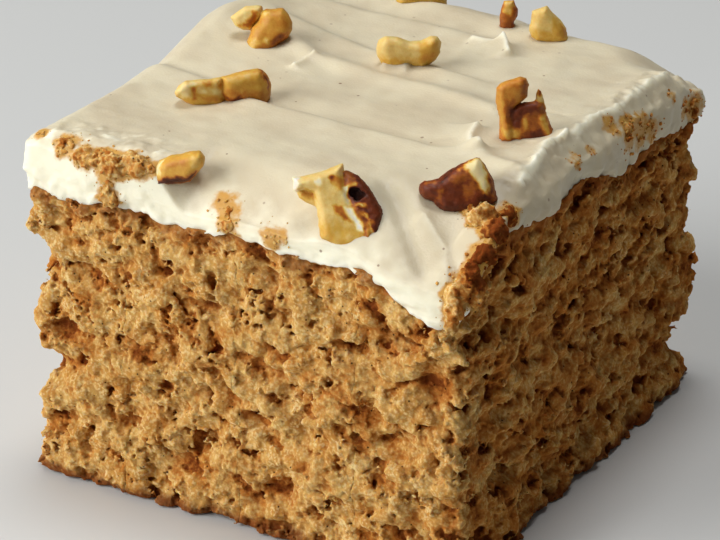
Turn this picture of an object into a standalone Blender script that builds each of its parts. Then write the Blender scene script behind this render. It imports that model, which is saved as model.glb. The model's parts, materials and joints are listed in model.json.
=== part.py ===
"""A cut slice of applesauce spice cake with cream-cheese frosting and walnut pieces.

Run with: blender --background --python part.py

The slice stands on z = 0 with +Z up. Its well lit cut face looks along -Y and its shaded
cut face along +X. Shapes are worked out in millimetres and made in metres.
"""

import math

import bmesh
import bpy
import numpy as np
from mathutils import Euler, Matrix, Vector, noise

MM = 0.001

# Driving sizes of the slice, in millimetres
HALF_X = 33.8
HALF_Y = 37.0
CRUMB_HEIGHT = 42.3
FROSTING_TOP = 50.4
SEAM_GAP = 0.4
SOCKET_GAP = 0.35
# From the middle of the crumb to the middle of the whole slice with its overhangs
CENTRE_X = -0.94
CENTRE_Y = 0.2

# Cells of the crumb's and the frosting's grids along X, Y and Z
CRUMB_CELLS = (28, 31, 18)
FROSTING_CELLS = (32, 35, 4)
CRUMB_CORNER = 1.6
FROSTING_CORNER = 2.8

# The seam falls here, where the knife dragged frosting down over the front corner
CORNER_DIP = 4.9
# The seam rises behind the nearest part of the shaded face
SEAM_LIFT = 2.2
THINNEST_FROSTING = 2.6

# The average cut face lies this far inside the slice's outer faces
CUT_DEPTH = 0.75
# How far inside a cut face its hollows still draw the solid in
CUT_REACH = 9.0

WALNUT_VOXEL = 0.6
WALNUT_FACES = 170

# The direction of a walnut piece's length before it is turned: across the front corner
ACROSS = math.radians(30.5)

# The four upright faces: name, axis and the way it looks along that axis
FACES = (("left", 0, -1), ("right", 0, 1), ("front", 1, -1), ("back", 1, 1))

# Torn hollows in the cut faces: face, place along it, height, half width, half height, depth
HOLLOWS = (
    ("front", -33.0, 15.3, 4.6, 1.6, 3.6),
    ("front", -33.0, 30.5, 4.0, 3.0, 2.2),
    ("front", -27.0, 23.4, 2.2, 1.6, 1.3),
    ("front", -4.7, 30.7, 2.2, 1.6, 1.2),
    ("front", 6.0, 37.8, 2.2, 1.6, 1.1),
    ("front", 14.2, 35.6, 2.6, 1.6, 1.6),
    ("front", 17.9, 30.4, 2.4, 1.6, 2.0),
    ("front", 2.4, 16.8, 2.4, 1.6, 1.6),
    ("front", -6.0, 10.2, 2.6, 2.0, 2.2),
    ("front", 7.0, 7.4, 2.2, 1.6, 1.8),
    ("front", 9.5, 15.6, 2.2, 2.0, 1.2),
    ("front", 24.9, 33.6, 3.2, 1.6, 2.0),
    ("front", 22.6, 18.2, 2.6, 1.6, 1.6),
    ("front", 29.4, 27.4, 2.2, 1.6, 1.2),
    ("front", -26.0, 8.5, 3.0, 1.6, 1.0),
    ("front", -4.0, 0.0, 2.2, 2.6, 1.6),
    ("right", -27.7, 23.8, 3.4, 1.7, 1.6),
    ("right", -32.0, 21.9, 2.4, 1.6, 1.2),
    ("right", -19.8, 26.6, 2.6, 1.6, 1.2),
    ("right", -6.1, 20.2, 2.2, 2.2, 1.3),
    ("right", 7.6, 17.5, 2.2, 1.9, 1.1),
    ("right", -21.6, 10.4, 3.0, 1.6, 1.5),
    ("right", -11.3, 8.3, 2.6, 1.6, 1.4),
    ("right", 1.2, 7.7, 2.2, 1.6, 1.0),
    ("right", 36.0, 6.5, 6.0, 3.0, 2.3),
    ("right", 36.0, 27.0, 5.0, 3.5, 0.9),
    ("left", -36.0, 15.3, 3.6, 1.6, 3.2),
    ("left", -36.0, 30.5, 3.6, 3.0, 2.0),
    ("left", -14.0, 22.0, 3.0, 1.6, 1.6),
    ("left", 6.0, 11.0, 3.4, 1.6, 1.9),
    ("left", 22.0, 30.0, 2.6, 1.6, 1.5),
    ("left", 30.0, 14.0, 2.2, 1.8, 1.4),
    ("back", -22.0, 28.0, 3.0, 1.6, 1.7),
    ("back", -8.0, 13.0, 3.4, 1.7, 1.9),
    ("back", 10.0, 24.0, 2.6, 1.6, 1.5),
    ("back", 24.0, 10.0, 3.0, 1.6, 1.7),
    ("back", 33.0, 6.5, 4.0, 3.0, 2.0),
)

# Marks of the palette knife: kind, height, reach to each side, and the points it passes
STROKES = (
    ("step", 0.55, 3.5, ((-33, -6.5), (-25, -7.5), (-16, -9.2))),
    ("step", 0.75, 4.0, ((-11, -11.4), (3, -12.6), (18, -13.5), (21, -11.8))),
    ("crest", 0.85, 1.7, ((-19, 9.2), (-13.6, 6.5), (-3, 4.4), (9, 3.6), (17, 1.9))),
    ("step", 0.7, 3.5, ((-23, 16.6), (-16, 15.4), (-9, 13.6), (0, 12.4), (9, 11))),
    ("step", 0.6, 3.5, ((-30, 27), (-18, 26), (-4, 25.6), (2, 25.4))),
    ("crest", 1.7, 1.1, ((1, 25.4), (6, 24.6), (9.4, 22.6))),
    ("crest", 1.5, 1.1, ((-2.6, 8.9), (-0.6, 9.1))),
    ("crest", 0.8, 1.0, ((-14.2, 1.5), (-13.6, 6.0))),
    ("crest", 1.3, 1.5, ((19, -5.9), (20.3, -10.3), (24, -12.9), (31, -12.4))),
    ("crest", 1.2, 1.6, ((31.2, 9), (31.2, 2), (30.4, -4), (31.2, -12), (32, -18))),
    ("crest", -0.9, 1.5, ((17.5, -27), (22, -30.5), (27, -34.5))),
    ("crest", 0.7, 2.0, ((30, -28), (31.5, -33.5))),
)

# Walnut pieces. A lobe runs from one place to another, each (across, back, up), with its
# radius. A break is a flat fracture: the way it faces and how far out it lies.
WALNUTS = {
    "walnut_back_left": {
        "at": (-21.9, 5.2), "turn": 0, "sink": 0.8,
        "lobes": (
            ((1.2, 0.2, 2.8), (2.4, 0.8, 3.4), 2.4), ((-0.6, -1.0, 1.5), (0.8, -0.4, 2.2), 1.8),
            ((-3.3, 0.8, 4.6), (-0.4, 0.9, 4.9), 1.1)),
        "breaks": ((-0.5, -0.8, 0.3, 1.9), ),
    },
    "walnut_long": {
        "at": (-15.6, -13.6), "turn": 15, "sink": 0.6,
        "lobes": (
            ((-5.4, 0.0, 1.2), (-1.5, 0.0, 1.4), 1.2), ((-2.6, 0.0, 1.6), (1.0, 0.0, 1.8), 1.6),
            ((0.4, 0.0, 2.0), (4.4, 0.0, 2.1), 2.0)),
        "breaks": ((-0.35, -0.55, 0.75, 2.5), ),
    },
    "walnut_in_edge": {
        "at": (-10.0, -33.4), "turn": -18, "sink": 2.0,
        "lobes": (
            ((-1.6, 0.0, 1.9), (0.6, 0.0, 2.0), 1.8), ((0.4, 0.2, 2.0), (1.6, 0.2, 2.1), 1.7)),
        "breaks": ((0.0, -0.9, 0.45, 1.7), ),
    },
    "walnut_front": {
        "at": (15.3, -34.8), "turn": 0, "sink": 0.3,
        "lobes": (
            ((-1.2, 0.6, 1.7), (1.8, 0.6, 1.7), 1.8), ((-2.6, 2.6, 4.9), (-0.6, 1.4, 2.8), 2.1),
            ((-5.0, 4.2, 5.9), (-0.9, 4.6, 7.0), 1.3), ((-0.9, 4.8, 7.2), (-0.5, 5.2, 8.2), 0.6),
            ((-5.7, 3.6, 5.0), (-3.6, 3.4, 5.1), 0.9), ((0.9, 4.8, 6.2), (2.6, 4.6, 5.3), 1.5),
            ((2.8, 4.4, 5.1), (4.0, 3.6, 3.7), 1.5), ((4.2, 3.4, 3.5), (4.8, 2.6, 1.7), 1.2),
            ((0.4, 3.6, 3.6), (2.6, 2.6, 2.6), 1.9), ((3.2, 0.9, 2.4), (3.5, 0.7, 1.1), 1.1)),
        "breaks": ((-0.2, -0.9, 0.4, 3.4), ),
    },
    "walnut_dark": {
        "at": (27.0, -25.3), "turn": 0, "sink": 0.6,
        "lobes": (
            ((-4.3, 0.0, 2.2), (-2.6, 0.0, 2.4), 1.2), ((-1.9, 0.0, 2.6), (2.2, 0.3, 2.8), 2.3),
            ((2.5, 1.2, 5.4), (3.5, 0.8, 2.2), 1.5), ((0.2, 1.2, 3.6), (2.2, 1.2, 4.8), 1.5)),
        "breaks": ((-0.45, -0.6, 0.65, 2.7), (0.9, -0.3, 0.3, 4.1)),
    },
    "walnut_curled": {
        "at": (25.5, -4.7), "turn": 0, "sink": 0.5,
        "lobes": (
            ((-2.9, 0.0, 5.6), (-2.5, 0.0, 1.2), 1.3), ((-2.5, 0.2, 6.4), (-1.7, 0.2, 6.8), 1.7),
            ((-0.7, 0.1, 7.8), (-0.5, 0.1, 8.0), 1.0), ((-0.6, 0.2, 2.4), (1.2, 0.4, 2.9), 2.1),
            ((2.4, 0.2, 4.2), (3.7, -0.3, 1.1), 1.1), ((2.2, 0.5, 4.6), (2.1, 0.7, 7.2), 0.5)),
        "breaks": ((-0.1, -0.95, 0.1, 1.9), ),
    },
    "walnut_pale": {
        "at": (-0.4, 9.6), "turn": 0, "sink": 0.6,
        "lobes": (
            ((-2.8, 0.0, 1.9), (-0.8, 0.0, 1.9), 2.0), ((0.4, 0.1, 1.8), (2.6, 0.2, 2.1), 1.8),
            ((3.3, 0.4, 3.1), (3.6, 0.4, 2.2), 1.1)),
        "breaks": ((-0.3, -0.3, 0.9, 2.4), ),
    },
    "walnut_upright": {
        "at": (4.6, 30.4), "turn": 0, "sink": 0.5,
        "lobes": (
            ((-0.6, 0.0, 1.2), (-0.6, 0.0, 3.4), 1.0), ((0.7, 0.0, 1.2), (0.8, 0.0, 3.2), 0.9),
            ((0.1, 0.1, 4.2), (0.2, 0.1, 4.5), 0.95)),
        "breaks": (),
    },
    "walnut_back_right": {
        "at": (11.3, 29.7), "turn": 0, "sink": 0.5,
        "lobes": (
            ((-1.0, 0.0, 1.8), (-0.6, 0.0, 2.8), 1.9), ((0.6, 0.0, 1.3), (2.0, 0.0, 1.4), 1.4),
            ((-0.8, 0.1, 4.0), (-0.6, 0.1, 4.3), 1.0)),
        "breaks": ((0.6, -0.2, 0.75, 2.5), ),
    },
    "walnut_far": {
        "at": (-11.9, 33.6), "turn": 8, "sink": 0.5,
        "lobes": (
            ((-2.2, 0.0, 1.6), (-0.6, 0.0, 1.6), 1.7), ((0.8, 0.1, 1.4), (2.6, 0.2, 1.5), 1.5)),
        "breaks": ((0.2, -0.6, 0.7, 1.7), ),
    },
}


def smooth(share):
    """Rises smoothly from 0 to 1 as share goes from 0 to 1."""
    t = np.clip(share, 0.0, 1.0)
    return t * t * (3 - 2 * t)


def hill(x, centre, reach):
    """A rounded hump of height 1 at centre, with almost nothing left past two reaches."""
    return np.exp(-(((x - centre) / reach) ** 2))


def seam_height(x, y):
    """Height of the seam between the crumb and the frosting: flat inside, wavy at the rim."""
    inside = np.minimum(HALF_X - np.abs(x), HALF_Y - np.abs(y))
    rim = 1 - smooth((inside - 4.0) / 6.0)
    waves = 0.45 * np.sin(0.33 * x + 0.9) + 0.45 * np.sin(0.29 * y + 2.1)
    behind_corner = smooth((y + HALF_Y) / 9.0) * (1 - smooth((y + 4.0) / 14.0))
    lift = SEAM_LIFT * behind_corner + 1.1 * hill(y, -26.0, 5.0)
    dip = CORNER_DIP * hill(x, 30.0, 8.5) * hill(y, -HALF_Y, 3.2)
    far_dip = 1.2 * smooth((x + y - 56.0) / 12.0)
    return CRUMB_HEIGHT + rim * (waves + lift * smooth((x - 23.0) / 9.0) - dip - far_dip)


def shoulder(inside, width, drop):
    """How far a softened edge has fallen, this far inside the edge."""
    return drop * (1 - np.clip(inside / width, 0.0, 1.0)) ** 1.5


def along_stroke(x, y, points):
    """Signed distance to the left of a stroke, and how far each place is past its ends."""
    nearest = np.full(x.shape, np.inf)
    side = np.zeros(x.shape)
    beyond = np.zeros(x.shape)
    for (ax, ay), (bx, by) in zip(points, points[1:]):
        length = math.hypot(bx - ax, by - ay)
        tx, ty = (bx - ax) / length, (by - ay) / length
        along = (x - ax) * tx + (y - ay) * ty
        over = np.maximum(np.maximum(-along, along - length), 0.0)
        across = (y - ay) * tx - (x - ax) * ty
        away = np.hypot(across, over)
        closer = away < nearest
        nearest = np.where(closer, away, nearest)
        side = np.where(closer, across, side)
        beyond = np.where(closer, over, beyond)
    return side, beyond


def stroke_height(x, y, kind, height, reach, points):
    """What one mark of the knife adds to the frosting's top."""
    side, beyond = along_stroke(x, y, points)
    fade = np.exp(-((beyond / reach) ** 2))
    if kind == "crest":
        return height * fade * np.exp(-((side / reach) ** 2))
    return -height * fade * np.tanh(side / 0.9) * np.exp(-((side / reach) ** 2))


def frosting_height(x, y):
    """Height of the frosting's top, with its shoulders, mounds and knife marks."""
    from_front, from_back = HALF_Y + y, HALF_Y - y
    from_left, from_right = HALF_X + x, HALF_X - x
    spread = smooth((x + 13.0) / 6.0)
    drops = (
        shoulder(from_front, 3.0 + 7.0 * spread, 1.6 + 4.7 * spread),
        shoulder(from_right, 4.5, 2.4),
        shoulder(from_back, 5.0, 1.6 + 1.6 * smooth(x / 20.0)),
        shoulder(from_left, 3.4, 1.7),
        6.6 * (1 - smooth((np.hypot(from_front, from_right) - 1.0) / 20.0)),
        4.8 * (1 - smooth(np.hypot(from_back, from_right) / 14.0)),
        1.2 * (1 - smooth(np.hypot(from_back, from_left) / 12.0)),
    )
    mounds = 3.2 * hill(x, -HALF_X, 12.0) * hill(y, 13.0, 13.0)
    mounds = mounds + 1.2 * hill(x, -8.0, 18.0) * hill(y, HALF_Y, 14.0)
    z = FROSTING_TOP + mounds - np.sqrt(sum(drop ** 2 for drop in drops))
    for stroke in STROKES:
        z = z + stroke_height(x, y, *stroke)
    return np.maximum(z, seam_height(x, y) + THINNEST_FROSTING)


def frosting_bulge(face, along):
    """How far the frosting's wall stands out at its fullest, on one of the four sides."""
    if face == "left":
        return 0.5 + 2.6 * hill(along, 15.0, 14.0)
    if face == "right":
        return 0.7 + 0.5 * math.sin(0.35 * along)
    if face == "front":
        return 0.4 + 0.4 * math.sin(0.27 * along + 1.0)
    return 0.8 + 0.4 * math.sin(0.3 * along)


def hollow_depth(face, along, z):
    """Depth of the torn hollows at this place on a cut face."""
    depth = 0.0
    for place, middle, height, half_width, half_height, deep in HOLLOWS:
        if place == face:
            depth += deep * hill(along, middle, half_width) * hill(z, height, half_height)
    return depth


def crumb_depth(face, along, point):
    """How far a cut face lies behind the slice's outer face, with its crags and hollows."""
    squeezed = Vector((point.x, point.y, 1.7 * point.z))
    crags = 0.95 * noise.fractal(squeezed / 8.0, 0.8, 2.0, 3)
    grain = 0.55 * noise.noise(squeezed / 3.1 + Vector((40, 10, 7)))
    flare = 1.1 * (1 - smooth(point.z / 4.5))
    calm = 1 - 0.75 * smooth((point.z - CRUMB_HEIGHT + 5.0) / 4.0)
    depth = CUT_DEPTH + (crags + grain) * calm + hollow_depth(face, along, point.z)
    return max(0.0, depth - flare)


def round_corner(x, y, radius):
    """Moves a place near a square corner of the slice to where the rounded corner has it."""
    px = (abs(x) - HALF_X + radius) / radius
    py = (abs(y) - HALF_Y + radius) / radius
    if min(px, py) <= 0:
        return x, y
    shrink = max(px, py) / math.hypot(px, py)
    x = math.copysign(HALF_X - radius + radius * px * shrink, x)
    y = math.copysign(HALF_Y - radius + radius * py * shrink, y)
    return x, y


def draw_in(point, depth_of):
    """Moves a point inwards by the depths of the faces near it, less so further inside."""
    halves = (HALF_X, HALF_Y)
    moved = point.copy()
    for face, axis, sign in FACES:
        inside = halves[axis] - sign * point[axis]
        if inside < CUT_REACH:
            on_face = point.copy()
            on_face[axis] = sign * halves[axis]
            depth = depth_of(face, point[1 - axis], on_face)
            moved[axis] -= sign * depth * (1 - inside / CUT_REACH) ** 2
    return moved


def grid_box(cells):
    """A bmesh cube from -1 to 1, its edges along X, Y and Z split into these many cells."""
    bm = bmesh.new()
    bmesh.ops.create_cube(bm, size=2.0)
    for axis, count in enumerate(cells):
        others = [other for other in range(3) if other != axis]
        edges = [
            edge for edge in bm.edges
            if all(abs(edge.verts[0].co[o] - edge.verts[1].co[o]) < 1e-6 for o in others)
        ]
        bmesh.ops.subdivide_edges(bm, edges=edges, cuts=count - 1, use_grid_fill=True)
    return bm


def merge_flats(bm):
    """Joins neighbouring faces that lie in one plane, such as those under the slice."""
    bmesh.ops.dissolve_limit(
        bm, angle_limit=math.radians(0.05), verts=bm.verts[:], edges=bm.edges[:])
    bmesh.ops.triangulate(bm, faces=bm.faces[:])


def object_from(bm, name, collection, material=None):
    """Turns a bmesh in millimetres about the crumb's middle into an object in metres."""
    bmesh.ops.translate(bm, verts=bm.verts[:], vec=(-CENTRE_X, -CENTRE_Y, 0))
    bmesh.ops.scale(bm, verts=bm.verts[:], vec=(MM, MM, MM))
    return link_mesh(bm, name, collection, material)


def link_mesh(bm, name, collection, material=None):
    """Writes a bmesh into a new object of this collection."""
    mesh = bpy.data.meshes.new(name)
    bm.to_mesh(mesh)
    bm.free()
    if material:
        mesh.materials.append(material)
    made = bpy.data.objects.new(name, mesh)
    collection.objects.link(made)
    return made


def plain_material(name, colour, roughness):
    """A Principled material of one colour."""
    material = bpy.data.materials.new(name)
    material.use_nodes = True
    shader = material.node_tree.nodes["Principled BSDF"]
    shader.inputs["Base Color"].default_value = (*colour, 1.0)
    shader.inputs["Roughness"].default_value = roughness
    shader.inputs["Metallic"].default_value = 0.0
    material.diffuse_color = (*colour, 1.0)
    return material


def crumb(collection, material):
    """The spice crumb: torn cut faces, a foot of crust that flares, and the seam on top."""
    bm = grid_box(CRUMB_CELLS)
    for vert in bm.verts:
        x, y = round_corner(vert.co.x * HALF_X, vert.co.y * HALF_Y, CRUMB_CORNER)
        top = float(seam_height(np.float64(x), np.float64(y)))
        vert.co = draw_in(Vector((x, y, (vert.co.z + 1) / 2 * top)), crumb_depth)
    merge_flats(bm)
    return object_from(bm, "crumb", collection, material)


def frosting(collection, material):
    """The frosting: knife-marked top, rounded shoulders and walls that overhang a little."""
    bm = grid_box(FROSTING_CELLS)
    for vert in bm.verts:
        x, y = round_corner(vert.co.x * HALF_X, vert.co.y * HALF_Y, FROSTING_CORNER)
        up = (vert.co.z + 1) / 2
        top = float(frosting_height(np.float64(x), np.float64(y)))
        bottom = float(seam_height(np.float64(x), np.float64(y))) + SEAM_GAP
        fullness = math.sin(math.pi * (0.12 + 0.72 * up))

        def wall_depth(face, along, _):
            return CUT_DEPTH - fullness * frosting_bulge(face, along)

        vert.co = draw_in(Vector((x, y, bottom + up * (top - bottom))), wall_depth)
    merge_flats(bm)
    return object_from(bm, "frosting", collection, material)


def lobe_matrix(start, end, radius):
    """Places and stretches a unit sphere as a lobe that runs from start to end."""
    start, end = Vector(start), Vector(end)
    along = end - start
    stretch = Matrix.Diagonal((radius, radius, radius + along.length / 2, 1.0))
    turn = along.to_track_quat("Z", "Y").to_matrix().to_4x4()
    return Matrix.Translation((start + end) / 2) @ turn @ stretch


def break_flat(bm, fracture):
    """Cuts a walnut piece off at a flat fracture and closes the cut."""
    facing = Vector(fracture[:3]).normalized()
    middle = sum((vert.co for vert in bm.verts), Vector()) / len(bm.verts)
    cut = bmesh.ops.bisect_plane(
        bm, geom=bm.verts[:] + bm.edges[:] + bm.faces[:], dist=1e-5,
        plane_co=middle + facing * fracture[3], plane_no=facing, clear_outer=True)
    rim = [item for item in cut["geom_cut"] if isinstance(item, bmesh.types.BMEdge)]
    if rim:
        bmesh.ops.edgeloop_fill(bm, edges=rim)


def fused_lobes(name, lobes):
    """One closed skin round all the lobes of a piece, as a bmesh in millimetres."""
    bm = bmesh.new()
    for lobe in lobes:
        bmesh.ops.create_icosphere(bm, subdivisions=3, radius=1.0, matrix=lobe_matrix(*lobe))
    guide = link_mesh(bm, name + "_lobes", bpy.context.scene.collection)
    remesh = guide.modifiers.new("Fuse", "REMESH")
    remesh.mode = "VOXEL"
    remesh.voxel_size = WALNUT_VOXEL
    relax = guide.modifiers.new("Relax", "SMOOTH")
    relax.factor = 0.5
    relax.iterations = 3
    bpy.context.view_layer.update()
    fused = bmesh.new()
    fused.from_object(guide, bpy.context.evaluated_depsgraph_get())
    bpy.data.objects.remove(guide)
    return fused


def walnut_piece(name, piece, collection, material):
    """One walnut piece, with its origin where it rests on the frosting."""
    bm = fused_lobes(name, piece["lobes"])
    for fracture in piece["breaks"]:
        break_flat(bm, fracture)
    bmesh.ops.triangulate(bm, faces=bm.faces[:])
    bmesh.ops.scale(bm, verts=bm.verts[:], vec=(MM, MM, MM))
    full = len(bm.faces)
    made = link_mesh(bm, name, collection, material)
    coarsen = made.modifiers.new("Coarsen", "DECIMATE")
    coarsen.ratio = min(1.0, WALNUT_FACES / full)
    x, y = piece["at"]
    rests = float(frosting_height(np.float64(x), np.float64(y))) - piece["sink"]
    made.location = ((x - CENTRE_X) * MM, (y - CENTRE_Y) * MM, rests * MM)
    made.rotation_euler = Euler((0, 0, ACROSS + math.radians(piece["turn"])))
    return made


def socket_cutter(walnut, collection):
    """A copy of a walnut piece grown by the gap that it keeps to the frosting."""
    bm = bmesh.new()
    bm.from_object(walnut, bpy.context.evaluated_depsgraph_get())
    bm.normal_update()
    grown = [vert.co + vert.normal * SOCKET_GAP * MM for vert in bm.verts]
    for vert, place in zip(bm.verts, grown):
        vert.co = place
    cutter = link_mesh(bm, walnut.name + "_socket", collection)
    cutter.matrix_world = walnut.matrix_world
    cutter.hide_render = True
    cutter.display_type = "WIRE"
    return cutter


def main():
    for old in list(bpy.data.objects):
        bpy.data.objects.remove(old)
    slice_parts = bpy.data.collections.new("Spice cake slice")
    cutters = bpy.data.collections.new("Cutters")
    for collection in (slice_parts, cutters):
        bpy.context.scene.collection.children.link(collection)

    crumb(slice_parts, plain_material("Spice crumb", (0.50, 0.27, 0.10), 0.9))
    cream = frosting(slice_parts, plain_material("Frosting", (0.80, 0.71, 0.54), 0.5))

    kernel = plain_material("Walnut", (0.50, 0.26, 0.09), 0.6)
    walnuts = [
        walnut_piece(name, piece, slice_parts, kernel) for name, piece in WALNUTS.items()
    ]
    bpy.context.view_layer.update()
    for walnut in walnuts:
        socket_cutter(walnut, cutters)
    sockets = cream.modifiers.new("Sockets", "BOOLEAN")
    sockets.operation = "DIFFERENCE"
    sockets.operand_type = "COLLECTION"
    sockets.collection = cutters
    sockets.solver = "EXACT"


main()
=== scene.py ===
"""Looks of a cut slice of applesauce spice cake with cream-cheese frosting and walnuts.

Run with: blender --background --python scene.py

Shapes are worked out in millimetres about the middle of the crumb, with +Z up. They are made
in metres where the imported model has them.
"""

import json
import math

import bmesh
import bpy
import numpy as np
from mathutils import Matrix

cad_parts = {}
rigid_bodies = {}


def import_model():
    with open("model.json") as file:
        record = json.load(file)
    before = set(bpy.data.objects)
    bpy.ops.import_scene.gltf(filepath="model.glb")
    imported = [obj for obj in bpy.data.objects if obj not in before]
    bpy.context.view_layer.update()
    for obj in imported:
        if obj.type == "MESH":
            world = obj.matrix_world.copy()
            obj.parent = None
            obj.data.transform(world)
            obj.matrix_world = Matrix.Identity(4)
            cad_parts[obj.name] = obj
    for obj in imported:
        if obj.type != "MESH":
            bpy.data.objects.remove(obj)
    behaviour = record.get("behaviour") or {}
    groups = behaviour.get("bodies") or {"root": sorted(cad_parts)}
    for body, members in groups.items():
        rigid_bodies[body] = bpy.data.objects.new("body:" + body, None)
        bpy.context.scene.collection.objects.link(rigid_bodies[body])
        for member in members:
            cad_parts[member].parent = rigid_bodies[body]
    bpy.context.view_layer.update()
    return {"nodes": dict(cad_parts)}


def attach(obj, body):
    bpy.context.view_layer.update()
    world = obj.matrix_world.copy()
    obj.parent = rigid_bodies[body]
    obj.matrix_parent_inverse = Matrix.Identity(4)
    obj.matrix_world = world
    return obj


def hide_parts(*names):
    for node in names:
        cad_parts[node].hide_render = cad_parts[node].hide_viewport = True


bl_info = {
    "name": "Spice cake slice",
    "version": (1, 0, 0),
    "blender": (4, 5, 0),
    "location": "View3D > Sidebar > Cake",
    "description": "Dresses a packed slice of spice cake with crumb, frosting and walnuts",
    "category": "Object",
}

import openvdb
from mathutils import Matrix, Vector, noise

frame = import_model()

MM = 0.001

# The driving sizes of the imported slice, in millimetres
HALF_X = 33.8
HALF_Y = 37.0
CRUMB_HEIGHT = 42.3
FROSTING_TOP = 50.4
# From the middle of the crumb to the middle of the whole slice with its overhangs
CENTRE_X = -0.94
CENTRE_Y = 0.2

# Camera, in millimetres
CAMERA_PLACE = (180.5, -309.5, 190.3)
CAMERA_AIM = (-1.5, -0.2, 22.7)
CAMERA_LENS = 139.87
CAMERA_SENSOR = 36.0
# The photograph's frame, in pixels
PHOTO_WIDTH = 720
PHOTO_HEIGHT = 540
# Floor, and where the lights are, how large they are and what they are aimed at, in metres
FLOOR_SIZE = 3.0
FLOOR_GAP = 0.0002
WINDOW = ((-0.60, -0.71, 0.50), 0.9)
SKY = ((-0.05, 0.15, 1.2), 0.5)
LIGHT_AIM = (0.0, 0.0, 0.03)


def srgb(red, green, blue):
    """A colour given in the 0 to 255 steps of a screen, as the linear values of a shader."""
    steps = (step / 255 for step in (red, green, blue))
    linear = [s / 12.92 if s <= 0.04045 else ((s + 0.055) / 1.055) ** 2.4 for s in steps]
    return (*linear, 1.0)


def in_use(sockets, key):
    """The socket with this name or number, among those that a node's settings leave in use."""
    found = [socket for socket in sockets if socket.enabled]
    if isinstance(key, str):
        return next(socket for socket in found if socket.name == key)
    return found[key]


class Value:
    """One output of a node, on which node maths is written as Python expressions."""

    def __init__(self, nodes, socket):
        self.nodes = nodes
        self.socket = socket

    def maths(self, operation, *numbers):
        return self.nodes.add("ShaderNodeMath", {"operation": operation}, numbers)

    def __add__(self, other):
        return self.maths("ADD", self, other)

    def __sub__(self, other):
        return self.maths("SUBTRACT", self, other)

    def __mul__(self, other):
        return self.maths("MULTIPLY", self, other)

    def __truediv__(self, other):
        return self.maths("DIVIDE", self, other)

    def __rsub__(self, other):
        return self.maths("SUBTRACT", other, self)

    def __rtruediv__(self, other):
        return self.maths("DIVIDE", other, self)

    def __neg__(self):
        return self.maths("MULTIPLY", self, -1.0)

    __radd__ = __add__
    __rmul__ = __mul__

    def root(self):
        return self.maths("SQRT", self)

    def least(self, other):
        return self.maths("MINIMUM", self, other)

    def most(self, other):
        return self.maths("MAXIMUM", self, other)

    def soft_least(self, other, blend):
        """The lesser of two numbers, with the change from one to the other rounded off."""
        return self.maths("SMOOTH_MIN", self, other, blend)

    def between(self, low, high):
        return self.most(low).least(high)

    def rise(self, low, high):
        """Goes smoothly from 0 at low to 1 at high."""
        return self.nodes.add(
            "ShaderNodeMapRange", {"interpolation_type": "SMOOTHSTEP"},
            {"Value": self, "From Min": low, "From Max": high})

    def output(self, name):
        """Another output of the same node."""
        return Value(self.nodes, in_use(self.socket.node.outputs, name))


class Nodes:
    """Adds nodes to one node tree."""

    def __init__(self, tree):
        self.tree = tree

    def add(self, kind, settings=None, inputs=(), output=0):
        """Makes a node, sets it, fills or links its sockets and returns one of its outputs."""
        node = self.tree.nodes.new(kind)
        for name, setting in (settings or {}).items():
            if name == "stops":
                self.set_stops(node.color_ramp, setting)
            else:
                setattr(node, name, setting)
        pairs = inputs.items() if isinstance(inputs, dict) else enumerate(inputs)
        for key, value in pairs:
            socket = in_use(node.inputs, key)
            if isinstance(value, Value):
                self.tree.links.new(value.socket, socket)
            else:
                socket.default_value = value
        return Value(self, in_use(node.outputs, output) if node.outputs else None)

    def set_stops(self, ramp, stops):
        """Gives a colour ramp these (place, colour) stops."""
        while len(ramp.elements) < len(stops):
            ramp.elements.new(1.0)
        for element, (place, colour) in zip(ramp.elements, stops):
            element.position = place
            element.color = colour

    def vector(self, x, y, z):
        return self.add("ShaderNodeCombineXYZ", None, (x, y, z))

    def scaled(self, vector, factor):
        return self.add(
            "ShaderNodeVectorMath", {"operation": "SCALE"}, {"Vector": vector, "Scale": factor})

    def shifted(self, vector, offset):
        return self.add("ShaderNodeVectorMath", {"operation": "ADD"}, (vector, offset))

    def noise(self, place, size, detail=2.0, roughness=0.55):
        """Smooth noise with features of this size, about 0 to 1."""
        return self.add(
            "ShaderNodeTexNoise", {"noise_dimensions": "3D"},
            {"Vector": place, "Scale": 1 / size, "Detail": detail, "Roughness": roughness})

    def cells(self, place, size):
        """Distance to the nearest of many scattered points, in cells of this size."""
        return self.add(
            "ShaderNodeTexVoronoi", {"voronoi_dimensions": "3D"},
            {"Vector": place, "Scale": 1 / size})

    def mixed(self, factor, first, second):
        """Goes from one colour to another."""
        return self.add(
            "ShaderNodeMix", {"data_type": "RGBA"}, {"Factor": factor, "A": first, "B": second},
            output="Result")

    def attribute(self, name):
        """A number stored on the mesh, in a shader."""
        return self.add("ShaderNodeAttribute", {"attribute_name": name}, output="Fac")

    def stored(self, name):
        """A number stored on the mesh, in Geometry Nodes."""
        return self.add(
            "GeometryNodeInputNamedAttribute", {"data_type": "FLOAT"}, {"Name": name})


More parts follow.
